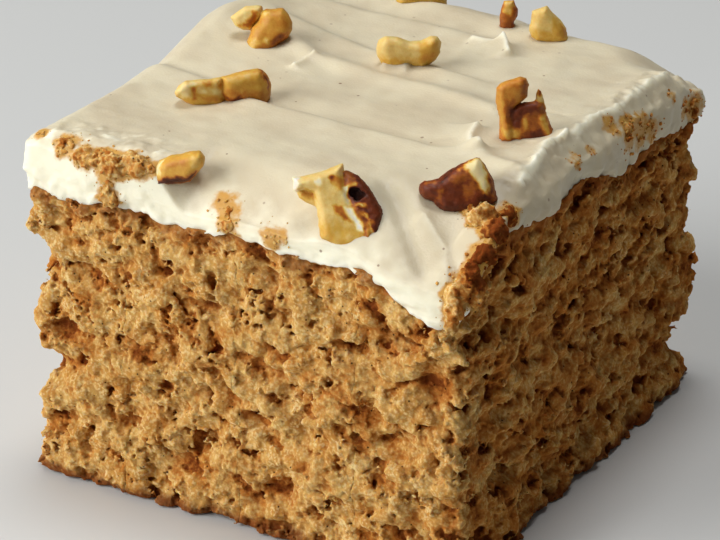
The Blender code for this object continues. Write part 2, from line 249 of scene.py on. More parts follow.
def finish_material(name, colour, height, relief, roughness, gloss, scatter, radius):
    """A Principled material made by functions that work out its colour and its height.

    The relief and the radius of the light that scatters inside are in millimetres.
    """
    material = bpy.data.materials.new(name)
    material.use_nodes = True
    nodes = Nodes(material.node_tree)
    coordinates = nodes.add("ShaderNodeTexCoord", output="Object")
    place = nodes.scaled(coordinates, 1 / MM)
    shader = material.node_tree.nodes["Principled BSDF"]
    shader.inputs["Subsurface Weight"].default_value = scatter
    shader.inputs["Subsurface Radius"].default_value = [part * MM for part in radius]
    shader.inputs["Subsurface Scale"].default_value = 1.0
    shader.inputs["Roughness"].default_value = roughness
    shader.inputs["Specular IOR Level"].default_value = gloss
    bump = nodes.add(
        "ShaderNodeBump", None,
        {"Strength": 1.0, "Distance": relief * MM, "Height": height(nodes, place)})
    material.node_tree.links.new(colour(nodes, place).socket, shader.inputs["Base Color"])
    material.node_tree.links.new(bump.socket, shader.inputs["Normal"])
    return material


def new_tree(name, inputs, output):
    """A Geometry Nodes tree with these inputs and this output, its nodes and its inputs."""
    tree = bpy.data.node_groups.new(name, "GeometryNodeTree")
    for key, kind in inputs.items():
        tree.interface.new_socket(key, in_out="INPUT", socket_type="NodeSocket" + kind)
    tree.interface.new_socket(output, in_out="OUTPUT", socket_type="NodeSocketGeometry")
    nodes = Nodes(tree)
    start = nodes.add("NodeGroupInput")
    return tree, nodes, [start.output(key) for key in inputs]


def grown(guide, tree, inputs, name):
    """A plain mesh object with what a tree makes of a guide object, which is then removed."""
    modifier = guide.modifiers.new(tree.name, "NODES")
    modifier.node_group = tree
    for socket in tree.interface.items_tree:
        if socket.name in inputs:
            modifier[socket.identifier] = inputs[socket.name]
    graph = bpy.context.evaluated_depsgraph_get()
    mesh = bpy.data.meshes.new_from_object(guide.evaluated_get(graph), depsgraph=graph)
    mesh.name = name
    bpy.data.objects.remove(guide)
    return linked(name, mesh)


def linked(name, data):
    """An object of this name with this data, in the scene."""
    made = bpy.data.objects.new(name, data)
    bpy.context.scene.collection.objects.link(made)
    return made


def packed_place(place):
    """A place in millimetres about the middle of the crumb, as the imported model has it."""
    return (Vector(place) - Vector((CENTRE_X, CENTRE_Y, 0.0))) * MM


def merged_copy(node, name):
    """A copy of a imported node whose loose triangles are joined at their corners."""
    bm = bmesh.new()
    bm.from_mesh(frame["nodes"][node].data)
    bmesh.ops.remove_doubles(bm, verts=bm.verts[:], dist=1e-6)
    mesh = bpy.data.meshes.new(name)
    bm.to_mesh(mesh)
    bm.free()
    return linked(name, mesh)


def smooth(share):
    """Rises smoothly from 0 to 1 as share goes from 0 to 1."""
    t = np.clip(share, 0.0, 1.0)
    return t * t * (3 - 2 * t)


def hill(x, centre, reach):
    """A rounded hump of height 1 at centre, with almost nothing left past two reaches."""
    return np.exp(-(((x - centre) / reach) ** 2))


def rough(points, size, octaves=2):
    """Smooth noise, about -1 to 1, with features of this size, at each of these points."""
    return np.array([noise.fractal(Vector(p) / size, 0.9, 2.0, octaves) for p in points])


def mesh_object(name, points, faces, material, attributes):
    """An object from points in millimetres about the middle of the crumb."""
    mesh = bpy.data.meshes.new(name)
    placed = (np.asarray(points) - (CENTRE_X, CENTRE_Y, 0.0)) * MM
    mesh.from_pydata(placed.tolist(), [], [tuple(face) for face in faces])
    for key, values in attributes.items():
        stored = mesh.attributes.new(key, "FLOAT", "POINT")
        stored.data.foreach_set("value", np.asarray(values, dtype=np.float32))
    mesh.shade_smooth()
    mesh.materials.append(material)
    return linked(name, mesh)


def hand_over(piece, node):
    """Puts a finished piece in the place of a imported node."""
    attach(piece, "root")
    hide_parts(node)


# Where the torn crumb is worked out, about the middle of the crumb: name, lowest corner,
# highest corner and how coarse its grain is
CRUMB_SLABS = (
    ("crumb_front_1", (-36.0, -38.6, -0.5), (-17.7, -29.5, 46.0), 1.0),
    ("crumb_front_2", (-17.7, -38.6, -0.5), (0.0, -29.5, 46.0), 1.0),
    ("crumb_front_3", (0.0, -38.6, -0.5), (18.0, -29.5, 46.0), 1.0),
    ("crumb_front_4", (18.0, -38.6, -0.5), (36.0, -29.5, 46.0), 1.0),
    ("crumb_right_1", (26.0, -29.5, -0.5), (36.0, -10.0, 46.0), 1.15),
    ("crumb_right_2", (26.0, -10.0, -0.5), (36.0, 9.5, 46.0), 1.15),
    ("crumb_right_3", (26.0, 9.5, -0.5), (36.0, 29.5, 46.0), 1.15),
    ("crumb_back_1", (-36.0, 29.5, -0.5), (0.0, 38.6, 46.0), 1.6),
    ("crumb_back_2", (0.0, 29.5, -0.5), (36.0, 38.6, 46.0), 1.6),
    ("crumb_left", (-36.0, -29.5, -0.5), (-26.3, 29.5, 46.0), 1.7),
    ("crumb_middle", (-26.6, -29.8, -0.5), (26.2, 29.7, 46.0), 7.0),
)
# The larger hollows of the front and beside the corner, and the wedge that is torn out of the
# left edge in three steps: middle, reach each way and depth
HOLLOWS = (
    ((-27.8, -37.0, 22.3), (2.2, 4.0, 1.9), 1.3), ((-18.2, -37.0, 37.0), (0.9, 4.0, 0.8), 1.3),
    ((-11.1, -37.0, 34.6), (1.3, 4.0, 0.8), 1.8), ((-4.8, -37.0, 41.2), (1.0, 4.0, 0.8), 1.3),
    ((-4.4, -37.0, 31.1), (1.8, 4.0, 0.9), 1.7), ((5.2, -37.0, 37.8), (1.1, 4.0, 1.0), 1.9),
    ((2.5, -37.0, 16.7), (2.5, 4.0, 1.2), 1.7), ((-8.4, -37.0, 6.9), (2.8, 4.0, 1.6), 1.6),
    ((6.2, -37.0, 6.8), (2.5, 4.0, 1.5), 1.7), ((17.3, -37.0, 30.8), (3.1, 4.0, 1.1), 2.2),
    ((24.9, -37.0, 33.5), (3.5, 4.0, 1.2), 2.1), ((28.8, -37.0, 28.1), (2.5, 4.0, 1.8), 1.3),
    ((19.7, -37.0, 22.4), (3.5, 4.0, 1.0), 1.6), ((22.4, -37.0, 18.5), (2.1, 4.0, 0.9), 2.1),
    ((28.0, -37.0, 22.3), (1.1, 4.0, 0.8), 1.6), ((33.8, -26.4, 42.4), (4.0, 1.8, 1.4), 2.4),
    ((-30.6, -37.2, 17.2), (4.2, 3.2, 0.9), 9.0), ((-33.6, -34.6, 15.6), (4.2, 3.4, 1.4), 12.0),
    ((-35.2, -31.0, 13.7), (4.0, 3.6, 1.7), 12.0),
)
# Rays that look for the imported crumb's faces start this far out, and stay clear of its edges
RAY_START = 90.0
INNER_X = (-30.0, 32.0)
INNER_Y = (-34.5, 34.0)
ABOVE_BASE = 0.5
BELOW_TOP = 0.6
UPRIGHT_ROUNDING = 2.2
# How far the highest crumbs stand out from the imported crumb's faces and its top
OVERHANG = 1.0
OVER_TOP = 0.9
# Torn surface, from the largest swells to the finest grit: size and height of each
SWELLS = (7.5, 4.5)
RIPPLES = (2.8, 2.4)
CLODS = (2.6, 1.4)
GRAINS = (0.9, 0.55)
GRIT = (0.5, 0.45)
# Pores: size, how little of the noise becomes one, and depth
PORES = (3.6, 0.45, 1.3)
PINHOLES = (1.7, 0.41, 0.4)
# How far noise of one size bends the clods and the hollows' rims
WANDER_SIZE = 1.1
CLOD_BEND = 1.1
RIM_BEND = 2.4
# Grain is this much flatter than it is wide
FLATTENING = 1.25
# Below this depth the crumb gets solid three times as fast
SKIN_DEPTH = 1.4
# Where a pore's wall and a hollow's rim begin and end, as shares of the noise and of the reach
PORE_WALL = 0.07
HOLLOW_RIM = (1.2, 0.6)


def crumb_depths(nodes, model, x, y, z):
    """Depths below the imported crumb's upright faces and below its top, in millimetres."""
    def reach(place, direction):
        hit = nodes.add(
            "GeometryNodeRaycast", None,
            {"Target Geometry": model, "Source Position": nodes.scaled(nodes.vector(*place), MM),
             "Ray Direction": direction, "Ray Length": 1.0},
            output="Hit Distance")
        return hit / MM - RAY_START

    inner_x = x.between(*INNER_X)
    inner_y = y.between(*INNER_Y)
    top = -reach((inner_x, inner_y, RAY_START), (0, 0, -1))
    inner_z = z.most(ABOVE_BASE).least(top - BELOW_TOP)
    left = x - reach((-RAY_START, inner_y, inner_z), (1, 0, 0))
    right = -reach((RAY_START, inner_y, inner_z), (-1, 0, 0)) - x
    front = y - reach((inner_x, -RAY_START, inner_z), (0, 1, 0))
    back = -reach((inner_x, RAY_START, inner_z), (0, -1, 0)) - y
    short_x = (UPRIGHT_ROUNDING - left.least(right)).most(0.0)
    short_y = (UPRIGHT_ROUNDING - front.least(back)).most(0.0)
    return UPRIGHT_ROUNDING - (short_x * short_x + short_y * short_y).root(), top - z


def volume_skin(nodes, solid, low, high, grain, finish, pit, under):
    """The skin round what is solid within a box, with what the crumb material needs to know."""
    size = nodes.add("ShaderNodeVectorMath", {"operation": "SUBTRACT"}, (high, low))
    steps = nodes.add("ShaderNodeSeparateXYZ", None, (nodes.scaled(size, 1 / grain),))
    volume = nodes.add(
        "GeometryNodeVolumeCube", None,
        {"Density": solid, "Background": -1.0, "Min": low, "Max": high,
         "Resolution X": steps, "Resolution Y": steps.output("Y"),
         "Resolution Z": steps.output("Z")})
    skin = nodes.add(
        "GeometryNodeVolumeToMesh", {"resolution_mode": "GRID"},
        {"Volume": volume, "Threshold": 0.0, "Adaptivity": 0.0})
    # This stored depth lets the crumb material paint shade into the pits, with random tone
    for name, value in (("pit", pit), ("under_top", under)):
        skin = nodes.add(
            "GeometryNodeStoreNamedAttribute", {"data_type": "FLOAT", "domain": "POINT"},
            {"Geometry": skin, "Name": name, "Value": value})
    skin = nodes.add("GeometryNodeSetShadeSmooth", None, {"Geometry": skin})
    return nodes.add("GeometryNodeSetMaterial", None, {"Geometry": skin, "Material": finish})


def crumb_tree():
    """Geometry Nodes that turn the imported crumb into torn, porous sponge within a box."""
    tree, nodes, (model, low, high, grain, pores, finish) = new_tree("Torn crumb", {
        "Model": "Geometry", "Low": "Vector", "High": "Vector", "Grain": "Float",
        "Pores": "Float", "Finish": "Material"}, "Crumb")
    place = nodes.scaled(nodes.add("GeometryNodeInputPosition"), 1 / MM)
    x = nodes.add("ShaderNodeSeparateXYZ", None, (place,))
    y, z = x.output("Y"), x.output("Z")
    side, under = crumb_depths(nodes, model, x, y, z)
    flat = nodes.vector(x, y, z * FLATTENING)

    def waves(size, offset, detail=1.0):
        return nodes.noise(nodes.shifted(flat, offset), size, detail) - 0.5

    wander = nodes.add("ShaderNodeVectorMath", {"operation": "SUBTRACT"}, (
        nodes.noise(nodes.shifted(flat, (7, 7, 7)), WANDER_SIZE, 3.0).output("Color"),
        (0.5, 0.5, 0.5)))
    bent = nodes.shifted(flat, nodes.scaled(wander, CLOD_BEND))
    ragged = nodes.shifted(place, nodes.scaled(wander, RIM_BEND))

    def pebbles(field, size, offset):
        return 0.45 - nodes.cells(nodes.shifted(field, offset), size)

    def recesses(size, share, depth, offset, detail):
        field = nodes.noise(nodes.shifted(flat, offset), size, detail, 0.62)
        return field.rise(share, share - PORE_WALL) * pores * depth

    swell = waves(SWELLS[0], (11, 5, 3)) * SWELLS[1]
    swell = swell + waves(RIPPLES[0], (1, 25, 3), 3.0) * RIPPLES[1]
    grains = pebbles(bent, CLODS[0], (6, 2, 5)) * CLODS[1]
    grains = grains + pebbles(flat, GRAINS[0], (9, 4, 2)) * GRAINS[1]
    grains = grains + waves(GRIT[0], (4, 2, 8), 2.0) * GRIT[1]
    rounded_side = side.soft_least(SKIN_DEPTH, 1.2) + (side - SKIN_DEPTH).most(0.0) * 3.0
    torn = rounded_side + 0.15 + swell + grains
    torn = torn - recesses(*PORES, (30, 10, 20), 4.0) - recesses(*PINHOLES, (5, 50, 2), 3.0)
    for (middle_x, middle_y, middle_z), reach, deep in HOLLOWS:
        away = nodes.shifted(ragged, (CENTRE_X - middle_x, CENTRE_Y - middle_y, -middle_z))
        away = nodes.add("ShaderNodeVectorMath", {"operation": "DIVIDE"}, (away, reach))
        away = nodes.add("ShaderNodeVectorMath", {"operation": "LENGTH"}, (away,), "Value")
        torn = torn - away.rise(*HOLLOW_RIM) * deep
    torn = torn.soft_least(side + OVERHANG, 0.4)
    solid = torn.least(under + OVER_TOP).least(z)

    # Painted shade: the depth below the imported faces is kept for the material to darken the pits
    dressed = volume_skin(nodes, solid, low, high, grain, finish, side + swell, under)
    nodes.add("NodeGroupOutput", None, (dressed,))
    return tree


def crumb_material(settings):
    """Spice crumb: tan grain with painted highlights, red-brown painted shade in pits, dark
    specks, and a browned base and top.
    """
    def colour(nodes, place):
        patches = nodes.noise(place, 4.5, 2.0)
        warmth = nodes.noise(nodes.shifted(place, (9, 9, 9)), 1.4, 4.0, 0.6)
        moved = nodes.shifted(place, (3, 3, 3))
        grains = nodes.noise(moved, 0.5, 3.0) - nodes.cells(moved, 0.42) * 0.3
        # Painted shade: deeper pits turn amber, then red-brown, with random tone from the grain
        # and larger patches
        pit = nodes.attribute("pit") - (grains - 0.35) * 1.3
        pit = pit + (nodes.noise(nodes.shifted(place, (1, 6, 1)), 8.0, 2.0) - 0.5) * 1.6
        sides = nodes.add("ShaderNodeSeparateXYZ", None, (place,))
        # Painted shade on the right cut face, which faces away from the light, fading out at the
        # front corner
        shaded = sides.rise(29.0, 32.5) * sides.output("Y").rise(-36.5, -33.0)
        pit = pit + shaded * 0.55
        base = nodes.mixed(patches.rise(0.35, 0.65), settings.tan, settings.warm)
        base = nodes.mixed(warmth.rise(0.52, 0.64) * 0.3, base, settings.amber)
        base = nodes.mixed(pit.rise(0.0, 0.9) * 0.85, base, settings.amber)
        base = nodes.mixed(pit.rise(0.7, 1.5) * 0.9, base, settings.deep)
        # Painted highlight: the grains that the bump raises are paler, except in the pits
        grain_highlight = grains.rise(0.28, 0.48) * (1.0 - pit.rise(-1.0, 0.7))
        base = nodes.mixed(grain_highlight.between(0.0, 1.0) * 0.9, base, settings.pale)
        height = sides.output("Z")
        ragged = (nodes.noise(place, 2.2, 2.0) - 0.5) * 2.4
        base = nodes.mixed((height + ragged).rise(2.4, 0.6) * 0.9, base, settings.crust)
        browned = (nodes.attribute("under_top") + ragged * 3.0).rise(1.8, 0.2) * 0.7
        base = nodes.mixed(browned, base, settings.browned)
        near = nodes.cells(place, 1.25)
        few = nodes.add("ShaderNodeSeparateColor", None, (near.output("Color"),))
        specks = (near * 1.25).rise(0.17, 0.1) * few.rise(0.4, 0.45)
        return nodes.mixed(specks * 0.85, base, settings.speck)

    def height(nodes, place):
        bits = 0.5 - nodes.cells(nodes.shifted(place, (3, 3, 3)), 0.42)
        return bits * 0.6 + nodes.noise(place, 0.35, 3.0, 0.6) * 0.7

    return finish_material(
        "Spice crumb", colour, height, relief=0.13, roughness=1.0, gloss=0.08, scatter=0.75,
        radius=(0.6, 0.4, 0.2))


# Marks of the palette knife: kind, height, reach to each side, and the points it passes
STROKES = (
    ("step", 0.5, 3.5, ((-33, -6.5), (-25, -7.5), (-16, -9.2))),
    ("step", 0.7, 4.0, ((-11, -11.4), (3, -12.6), (18, -13.5), (21, -11.8))),
    ("crest", 0.75, 1.8, ((-19, 9.2), (-13.6, 6.5), (-3, 4.4), (9, 3.6), (17, 1.9))),
    ("step", 0.6, 3.5, ((-23, 16.6), (-16, 15.4), (-9, 13.6), (0, 12.4), (9, 11))),
    ("step", 0.5, 3.5, ((-30, 27), (-18, 26), (-4, 25.6), (2, 25.4))),
    ("curl", 1.0, 0.7, ((3.0, 22.6), (5.4, 22.8), (7.4, 23.6))),
    ("curl", 1.5, 0.5, ((7.4, 23.6), (8.2, 23.0), (9.2, 21.4), (9.8, 20.6))),
    ("curl", 1.1, 0.5, ((-3.2, 8.2), (-1.6, 8.9), (-0.4, 9.3))),
    ("curl", 0.8, 0.45, ((-14.2, 1.5), (-13.9, 4.0), (-13.4, 6.0))),
    ("curl", 1.1, 0.7, ((18.6, -5.0), (19.4, -8.4), (20.6, -10.4), (23, -12.4))),
    ("crest", 0.7, 1.4, ((21.4, -11.6), (25, -14.4), (30, -15.6))),
    ("curl", 1.3, 0.8, ((31.8, 27), (31.4, 19), (31.8, 12), (30.6, 5), (31.2, -2))),
    ("curl", 1.6, 0.9, ((30.8, -3), (30.0, -7), (31.4, -13), (32.2, -18))),
    ("crest", -0.9, 1.5, ((17.5, -27), (22, -30.5), (27, -34.5))),
    ("curl", 0.6, 0.9, ((24, -29), (28.6, -31.6), (30.4, -35))),
    ("crest", 0.7, 2.0, ((12.6, -37.0), (17.4, -36.6))),
)
# The seam over the crumb, with its dips at two corners, then how thin the frosting gets and
# how far its corners are rounded
SEAM_GAP = 0.4
SEAM_WAVES = 0.45
SEAM_LIFT = 2.2
SEAM_BUMP = 1.1
CORNER_DIP = 4.9
FAR_DIP = 1.2
THINNEST_FROSTING = 2.6
FROSTING_CORNER = 1.8
# How wide and how deep the edges' shoulders are: the front's at its left and its right end
FRONT_LEFT_SHOULDER = (3.0, 1.6)
FRONT_RIGHT_SHOULDER = (10.0, 6.3)
RIGHT_SHOULDER = (4.5, 2.4)
LEFT_SHOULDER = (3.4, 1.7)
BACK_SHOULDER_WIDTH = 5.0
BACK_SHOULDER_DROPS = (1.6, 3.2)
# How far the frosting has sunk at three corners, and how far in from each that reaches
FRONT_RIGHT_SINK = (6.6, 20.0)
BACK_RIGHT_SINK = (4.8, 14.0)
BACK_LEFT_SINK = (1.2, 12.0)
# Mounds on top, how far the frosting is cut back, and the nominal height of its wall
LEFT_MOUND = 3.2
BACK_MOUND = 1.2
CUT_DEPTH = 0.75
CUT_REACH = 9.0
WALL_HEIGHT = 8.0
# Relief of the top: knife streaks, swells, worked lumps and grains, and the torn right side
STREAK_HEIGHT = 0.035
SWELL_HEIGHT = 0.16
WORKED_HEIGHTS = (0.35, 0.08)
TORN_HEIGHT = 0.6
# Relief of the walls: swells, grains, layers of the front, worked lumps, folds of the right
# side, and the foot that rises and falls
WALL_SWELLS = 0.35
WALL_GRAINS = 0.16
FRONT_LAYERS = 0.4
WORKED_WALL = 0.35
RIGHT_FOLDS = 0.55
FOOT_UNEVENNESS = 0.55
# How far the wall stands out at its fullest: on the left least, what a mound adds, its middle
# and its reach, and elsewhere the middle, the swing and the pace of its waves and their start
LEFT_BULGE = (0.5, 2.6, 15.0, 14.0)
WAVY_BULGES = {
    "right": (0.7, 0.5, 0.35, 0.0), "front": (0.4, 0.4, 0.27, 1.0), "back": (0.8, 0.4, 0.3, 0.0)}
# The four sides: the axis across each, and which way along it the side faces
FACES = (("left", 0, -1), ("right", 0, 1), ("front", 1, -1), ("back", 1, 1))


def seam_height(x, y):
    """Height of the seam between the crumb and the frosting: flat inside, wavy at the rim."""
    inside = np.minimum(HALF_X - np.abs(x), HALF_Y - np.abs(y))
    rim = 1 - smooth((inside - 4.0) / 6.0)
    waves = SEAM_WAVES * (np.sin(0.33 * x + 0.9) + np.sin(0.29 * y + 2.1))
    behind_corner = smooth((y + HALF_Y) / 9.0) * (1 - smooth((y + 4.0) / 14.0))
    lift = SEAM_LIFT * behind_corner + SEAM_BUMP * hill(y, -26.0, 5.0)
    dip = CORNER_DIP * hill(x, 30.0, 8.5) * hill(y, -HALF_Y, 3.2)
    far_dip = FAR_DIP * smooth((x + y - 56.0) / 12.0)
    return CRUMB_HEIGHT + rim * (waves + lift * smooth((x - 23.0) / 9.0) - dip - far_dip)


def shoulder(inside, width, drop):
    """How far a softened edge has fallen, this far inside the edge."""
    return drop * (1 - np.clip(inside / width, 0.0, 1.0)) ** 1.5


def sink(from_one, from_other, drop, reach, start=0.0):
    """How far a corner has sunk, this far from the two edges that meet there."""
    return drop * (1 - smooth((np.hypot(from_one, from_other) - start) / reach))


def blended(pair, share):
    """Goes from the first to the second of two numbers."""
    return pair[0] + (pair[1] - pair[0]) * share


def along_stroke(x, y, points):
    """Signed distance to the left of a stroke, and how far each place is past its ends."""
    nearest = np.full(x.shape, np.inf)
    side = np.zeros(x.shape)
    beyond = np.zeros(x.shape)
    for (ax, ay), (bx, by) in zip(points, points[1:]):
        length = math.hypot(bx - ax, by - ay)
        tx, ty = (bx - ax) / length, (by - ay) / length
        along = (x - ax) * tx + (y - ay) * ty
        over = np.maximum(np.maximum(-along, along - length), 0.0)
        across = (y - ay) * tx - (x - ax) * ty
        away = np.hypot(across, over)
        closer = away < nearest
        nearest = np.where(closer, away, nearest)
        side = np.where(closer, across, side)
        beyond = np.where(closer, over, beyond)
    return side, beyond


def stroke_height(x, y, kind, height, reach, points):
    """What one mark of the knife adds to the frosting's top."""
    side, beyond = along_stroke(x, y, points)
    fade = np.exp(-((beyond / reach) ** 2))
    if kind == "curl":
        steep = np.where(side > 0, np.exp(-side / reach), np.exp(side / (2.6 * reach)))
        return height * fade * steep
    if kind == "crest":
        return height * fade * np.exp(-((side / reach) ** 2))
    return -height * fade * np.tanh(side / 0.9) * np.exp(-((side / reach) ** 2))


def frosting_height(x, y):
    """Height of the frosting's top, with its shoulders, mounds and knife marks."""
    from_front, from_back = HALF_Y + y, HALF_Y - y
    from_left, from_right = HALF_X + x, HALF_X - x
    spread = smooth((x + 13.0) / 6.0)
    drops = (
        shoulder(from_front, *(
            blended(pair, spread) for pair in zip(FRONT_LEFT_SHOULDER, FRONT_RIGHT_SHOULDER))),
        shoulder(from_right, *RIGHT_SHOULDER),
        shoulder(
            from_back, BACK_SHOULDER_WIDTH, blended(BACK_SHOULDER_DROPS, smooth(x / 20.0))),
        shoulder(from_left, *LEFT_SHOULDER),
        sink(from_front, from_right, *FRONT_RIGHT_SINK, start=1.0),
        sink(from_back, from_right, *BACK_RIGHT_SINK),
        sink(from_back, from_left, *BACK_LEFT_SINK),
    )
    mounds = LEFT_MOUND * hill(x, -HALF_X, 12.0) * hill(y, 13.0, 13.0)
    mounds = mounds + BACK_MOUND * hill(x, -8.0, 18.0) * hill(y, HALF_Y, 14.0)
    z = FROSTING_TOP + mounds - np.sqrt(sum(drop ** 2 for drop in drops))
    for stroke in STROKES:
        z = z + stroke_height(x, y, *stroke)
    return np.maximum(z, seam_height(x, y) + THINNEST_FROSTING)


def frosting_bulge(face, along):
    """How far the frosting's wall stands out at its fullest, on one of the four sides."""
    if face == "left":
        least, more, middle, reach = LEFT_BULGE
        return least + more * hill(along, middle, reach)
    middle, swing, pace, start = WAVY_BULGES[face]
    return middle + swing * np.sin(pace * along + start)


def rounded(x, y, radius):
    """Moves places near a square corner of the slice to where the rounded corner has them."""
    px = np.maximum((np.abs(x) - HALF_X + radius) / radius, 0.0)
    py = np.maximum((np.abs(y) - HALF_Y + radius) / radius, 0.0)
    both = (px > 0) & (py > 0)
    shrink = np.where(both, np.maximum(px, py) / np.maximum(np.hypot(px, py), 1e-9), 1.0)
    new_x = np.sign(x) * (HALF_X - radius + radius * px * shrink)
    new_y = np.sign(y) * (HALF_Y - radius + radius * py * shrink)
    return np.where(both, new_x, x), np.where(both, new_y, y)


def frosting_points(x, y, up):
    """Places on the frosting's skin: up is 1 on top and falls to 0 at the wall's foot."""
    x, y = rounded(x, y, FROSTING_CORNER)
    bottom = seam_height(x, y) + SEAM_GAP
    z = bottom + up * (frosting_height(x, y) - bottom)
    fullness = np.sin(np.pi * (0.12 + 0.72 * up))
    places = [x, y]
    moved = [x.copy(), y.copy()]
    for face, axis, sign in FACES:
        inside = (HALF_X, HALF_Y)[axis] - sign * places[axis]
        depth = CUT_DEPTH - fullness * frosting_bulge(face, places[1 - axis])
        near = np.clip(1 - inside / CUT_REACH, 0.0, 1.0)
        moved[axis] = moved[axis] - sign * depth * near ** 2
    return np.stack([*moved, z], axis=-1)


# Where crumbs stick to the frosting: place, how far they spread and how thickly they lie
CLUSTERS = (
    ((-31.5, -34.6, 50.4), 1.6, 1.1), ((-26.4, -35.8, 49.6), 2.4, 1.05),
    ((-23.0, -36.4, 49.0), 2.2, 1.15), ((-20.6, -36.2, 49.4), 2.2, 1.2),
    ((-18.4, -36.8, 48.6), 2.6, 1.35), ((-16.4, -36.0, 49.3), 2.4, 1.25),
    ((-14.6, -36.4, 49.4), 2.2, 1.35), ((-12.4, -36.0, 49.6), 1.6, 1.1),
    ((-19.0, -37.2, 46.2), 1.7, 1.1), ((-18.8, -37.2, 44.0), 2.1, 1.25),
    ((-2.4, -34.6, 46.1), 2.3, 0.95), ((-1.2, -35.2, 45.6), 2.1, 1.0),
    ((-0.4, -36.8, 44.3), 1.8, 1.0), ((1.0, -37.4, 43.2), 1.3, 0.95),
    ((6.2, -36.7, 44.2), 2.3, 0.95), ((26.2, -37.6, 41.9), 0.7, 0.8),
    ((28.8, -37.6, 41.4), 0.5, 0.8), ((28.4, -24.2, 48.6), 2.2, 1.4),
    ((30.6, -25.8, 47.9), 2.3, 1.7), ((32.8, -22.8, 48.0), 2.4, 1.15),
    ((33.4, -27.5, 47.3), 2.8, 1.3), ((33.8, -31.4, 45.8), 2.8, 1.25),
    ((32.8, -33.8, 43.8), 2.4, 1.4), ((32.4, -35.8, 42.2), 2.1, 1.6),
    ((32.6, -37.2, 40.2), 2.0, 1.7), ((32.6, -37.3, 38.4), 1.9, 1.6),
    ((34.2, -33.6, 41.6), 2.6, 1.25), ((32.6, -4.2, 48.6), 1.6, 0.8),
    ((32.8, 0.0, 48.6), 1.1, 0.8), ((32.2, 7.5, 49.2), 2.2, 0.95),
    ((33.4, 11.0, 47.2), 3.2, 1.0), ((33.4, 14.6, 46.2), 3.0, 1.0),
    ((33.7, 17.8, 45.2), 2.4, 0.95), ((33.7, 24.0, 47.8), 1.3, 0.8),
    ((33.6, 29.2, 44.6), 2.2, 1.0), ((33.4, 32.4, 43.2), 2.8, 1.05),
)
# Where the clumps of crumb are worked out: name, lowest corner and highest corner
CLUMP_BOXES = (
    ("clumps_left", (-34.0, -39.0, 41.5), (-9.0, -32.5, 52.5)),
    ("clumps_front", (-4.5, -39.6, 41.0), (9.0, -34.5, 50.0)),
    ("clumps_corner", (26.0, -39.4, 37.0), (36.6, -21.0, 51.0)),
    ("clumps_right", (31.5, -7.5, 40.0), (36.4, 36.5, 51.5)),
)


def cluster_share(points):
    """How thickly crumbs lie at each of these places on the frosting, from 0 to 1."""
    share = np.zeros(len(points))
    for place, spread, amount in CLUSTERS:
        away = np.linalg.norm(points - np.array(place), axis=1)
        share = np.maximum(share, amount * np.exp(-((away / spread) ** 4)))
    return share


def frosting_skin(spacing):
    """Points and faces of the frosting, closed underneath, in millimetres."""
    count_x = int(2 * HALF_X / spacing)
    count_y = int(2 * HALF_Y / spacing)
    rows = int(WALL_HEIGHT / spacing)
    x, y = np.meshgrid(
        np.linspace(-HALF_X, HALF_X, count_x), np.linspace(-HALF_Y, HALF_Y, count_y),
        indexing="ij")
    index = np.arange(count_x * count_y).reshape(count_x, count_y)
    faces = [np.stack([
        index[:-1, :-1], index[1:, :-1], index[1:, 1:], index[:-1, 1:]], axis=-1).reshape(-1, 4)]
    rim = np.concatenate([index[:-1, 0], index[-1, :-1], index[:0:-1, -1], index[0, :0:-1]])
    points = [frosting_points(x.ravel(), y.ravel(), 1.0)]
    ups = [np.ones(x.size)]
    upper = rim
    for row in range(1, rows + 1):
        up = 1 - row / rows
        points.append(frosting_points(x.ravel()[rim], y.ravel()[rim], up))
        ups.append(np.full(len(rim), up))
        lower = x.size + (row - 1) * len(rim) + np.arange(len(rim))
        faces.append(np.stack([
            np.roll(upper, -1), upper, lower, np.roll(lower, -1)], axis=-1))
        upper = lower
    points = np.concatenate(points)
    middle = len(points)
    points = np.vstack([points, (0.0, 0.0, CRUMB_HEIGHT + SEAM_GAP)])
    fan = [(middle, a, b) for a, b in zip(np.roll(upper, -1), upper)]
    return points, [*np.concatenate(faces).tolist(), *fan], np.append(np.concatenate(ups), 0.0)


def worked_share(x, y):
    """Where the knife has worked crumbs into the frosting, at the left end of the front."""
    return smooth((-9.0 - x) / 5.0) * smooth((-27.0 - y) / 5.0)


def frosting_relief(points, up):
    """Moves the frosting's points to give it knife streaks, lumps, folds and a ragged foot."""
    x, y, z = points.T
    across = 0.14 * x + 0.99 * y
    along = 0.99 * x - 0.14 * y
    streaks = rough(np.stack([along / 12.0, across / 1.7, across * 0], axis=1), 1.0)
    soft = rough(points, 4.5)
    fine = rough(points, 1.1)
    lumps = rough(points, 1.9, 3)
    wall = 1 - smooth(up / 0.97)
    front = smooth((-HALF_Y + 6.0 - y) / 5.0)
    right = smooth((x - HALF_X + 4.5) / 3.0)
    worked = worked_share(x, y)
    torn = smooth((x - 29.0) / 1.5) * smooth((y + 21.0) / 4.0)
    moved = points.copy()
    crumbly = WORKED_HEIGHTS[0] * lumps + WORKED_HEIGHTS[1] * fine
    moved[:, 2] += (1 - wall) * (STREAK_HEIGHT * streaks + SWELL_HEIGHT * soft)
    moved[:, 2] += (1 - wall) * (worked * crumbly + torn * TORN_HEIGHT * lumps)
    outward = np.stack([x / HALF_X, y / HALF_Y], axis=1)
    outward = np.where(np.abs(outward) > 0.95, np.sign(outward), 0.0)
    layers = rough(points / (5.0, 5.0, 1.3), 1.0)
    folds = rough(points / (2.4, 2.4, 7.0), 1.0)
    push = wall * (
        WALL_SWELLS * soft + WALL_GRAINS * fine + FRONT_LAYERS * front * layers
        + WORKED_WALL * worked * lumps)
    push = push + wall * right * RIGHT_FOLDS * folds
    moved[:, 0] += outward[:, 0] * push
    moved[:, 1] += outward[:, 1] * push
    foot = (1 - smooth(up / 0.35)) * (up < 0.999)
    moved[:, 2] += foot * FOOT_UNEVENNESS * rough(points * (1, 1, 0.2), 1.8)
    return moved


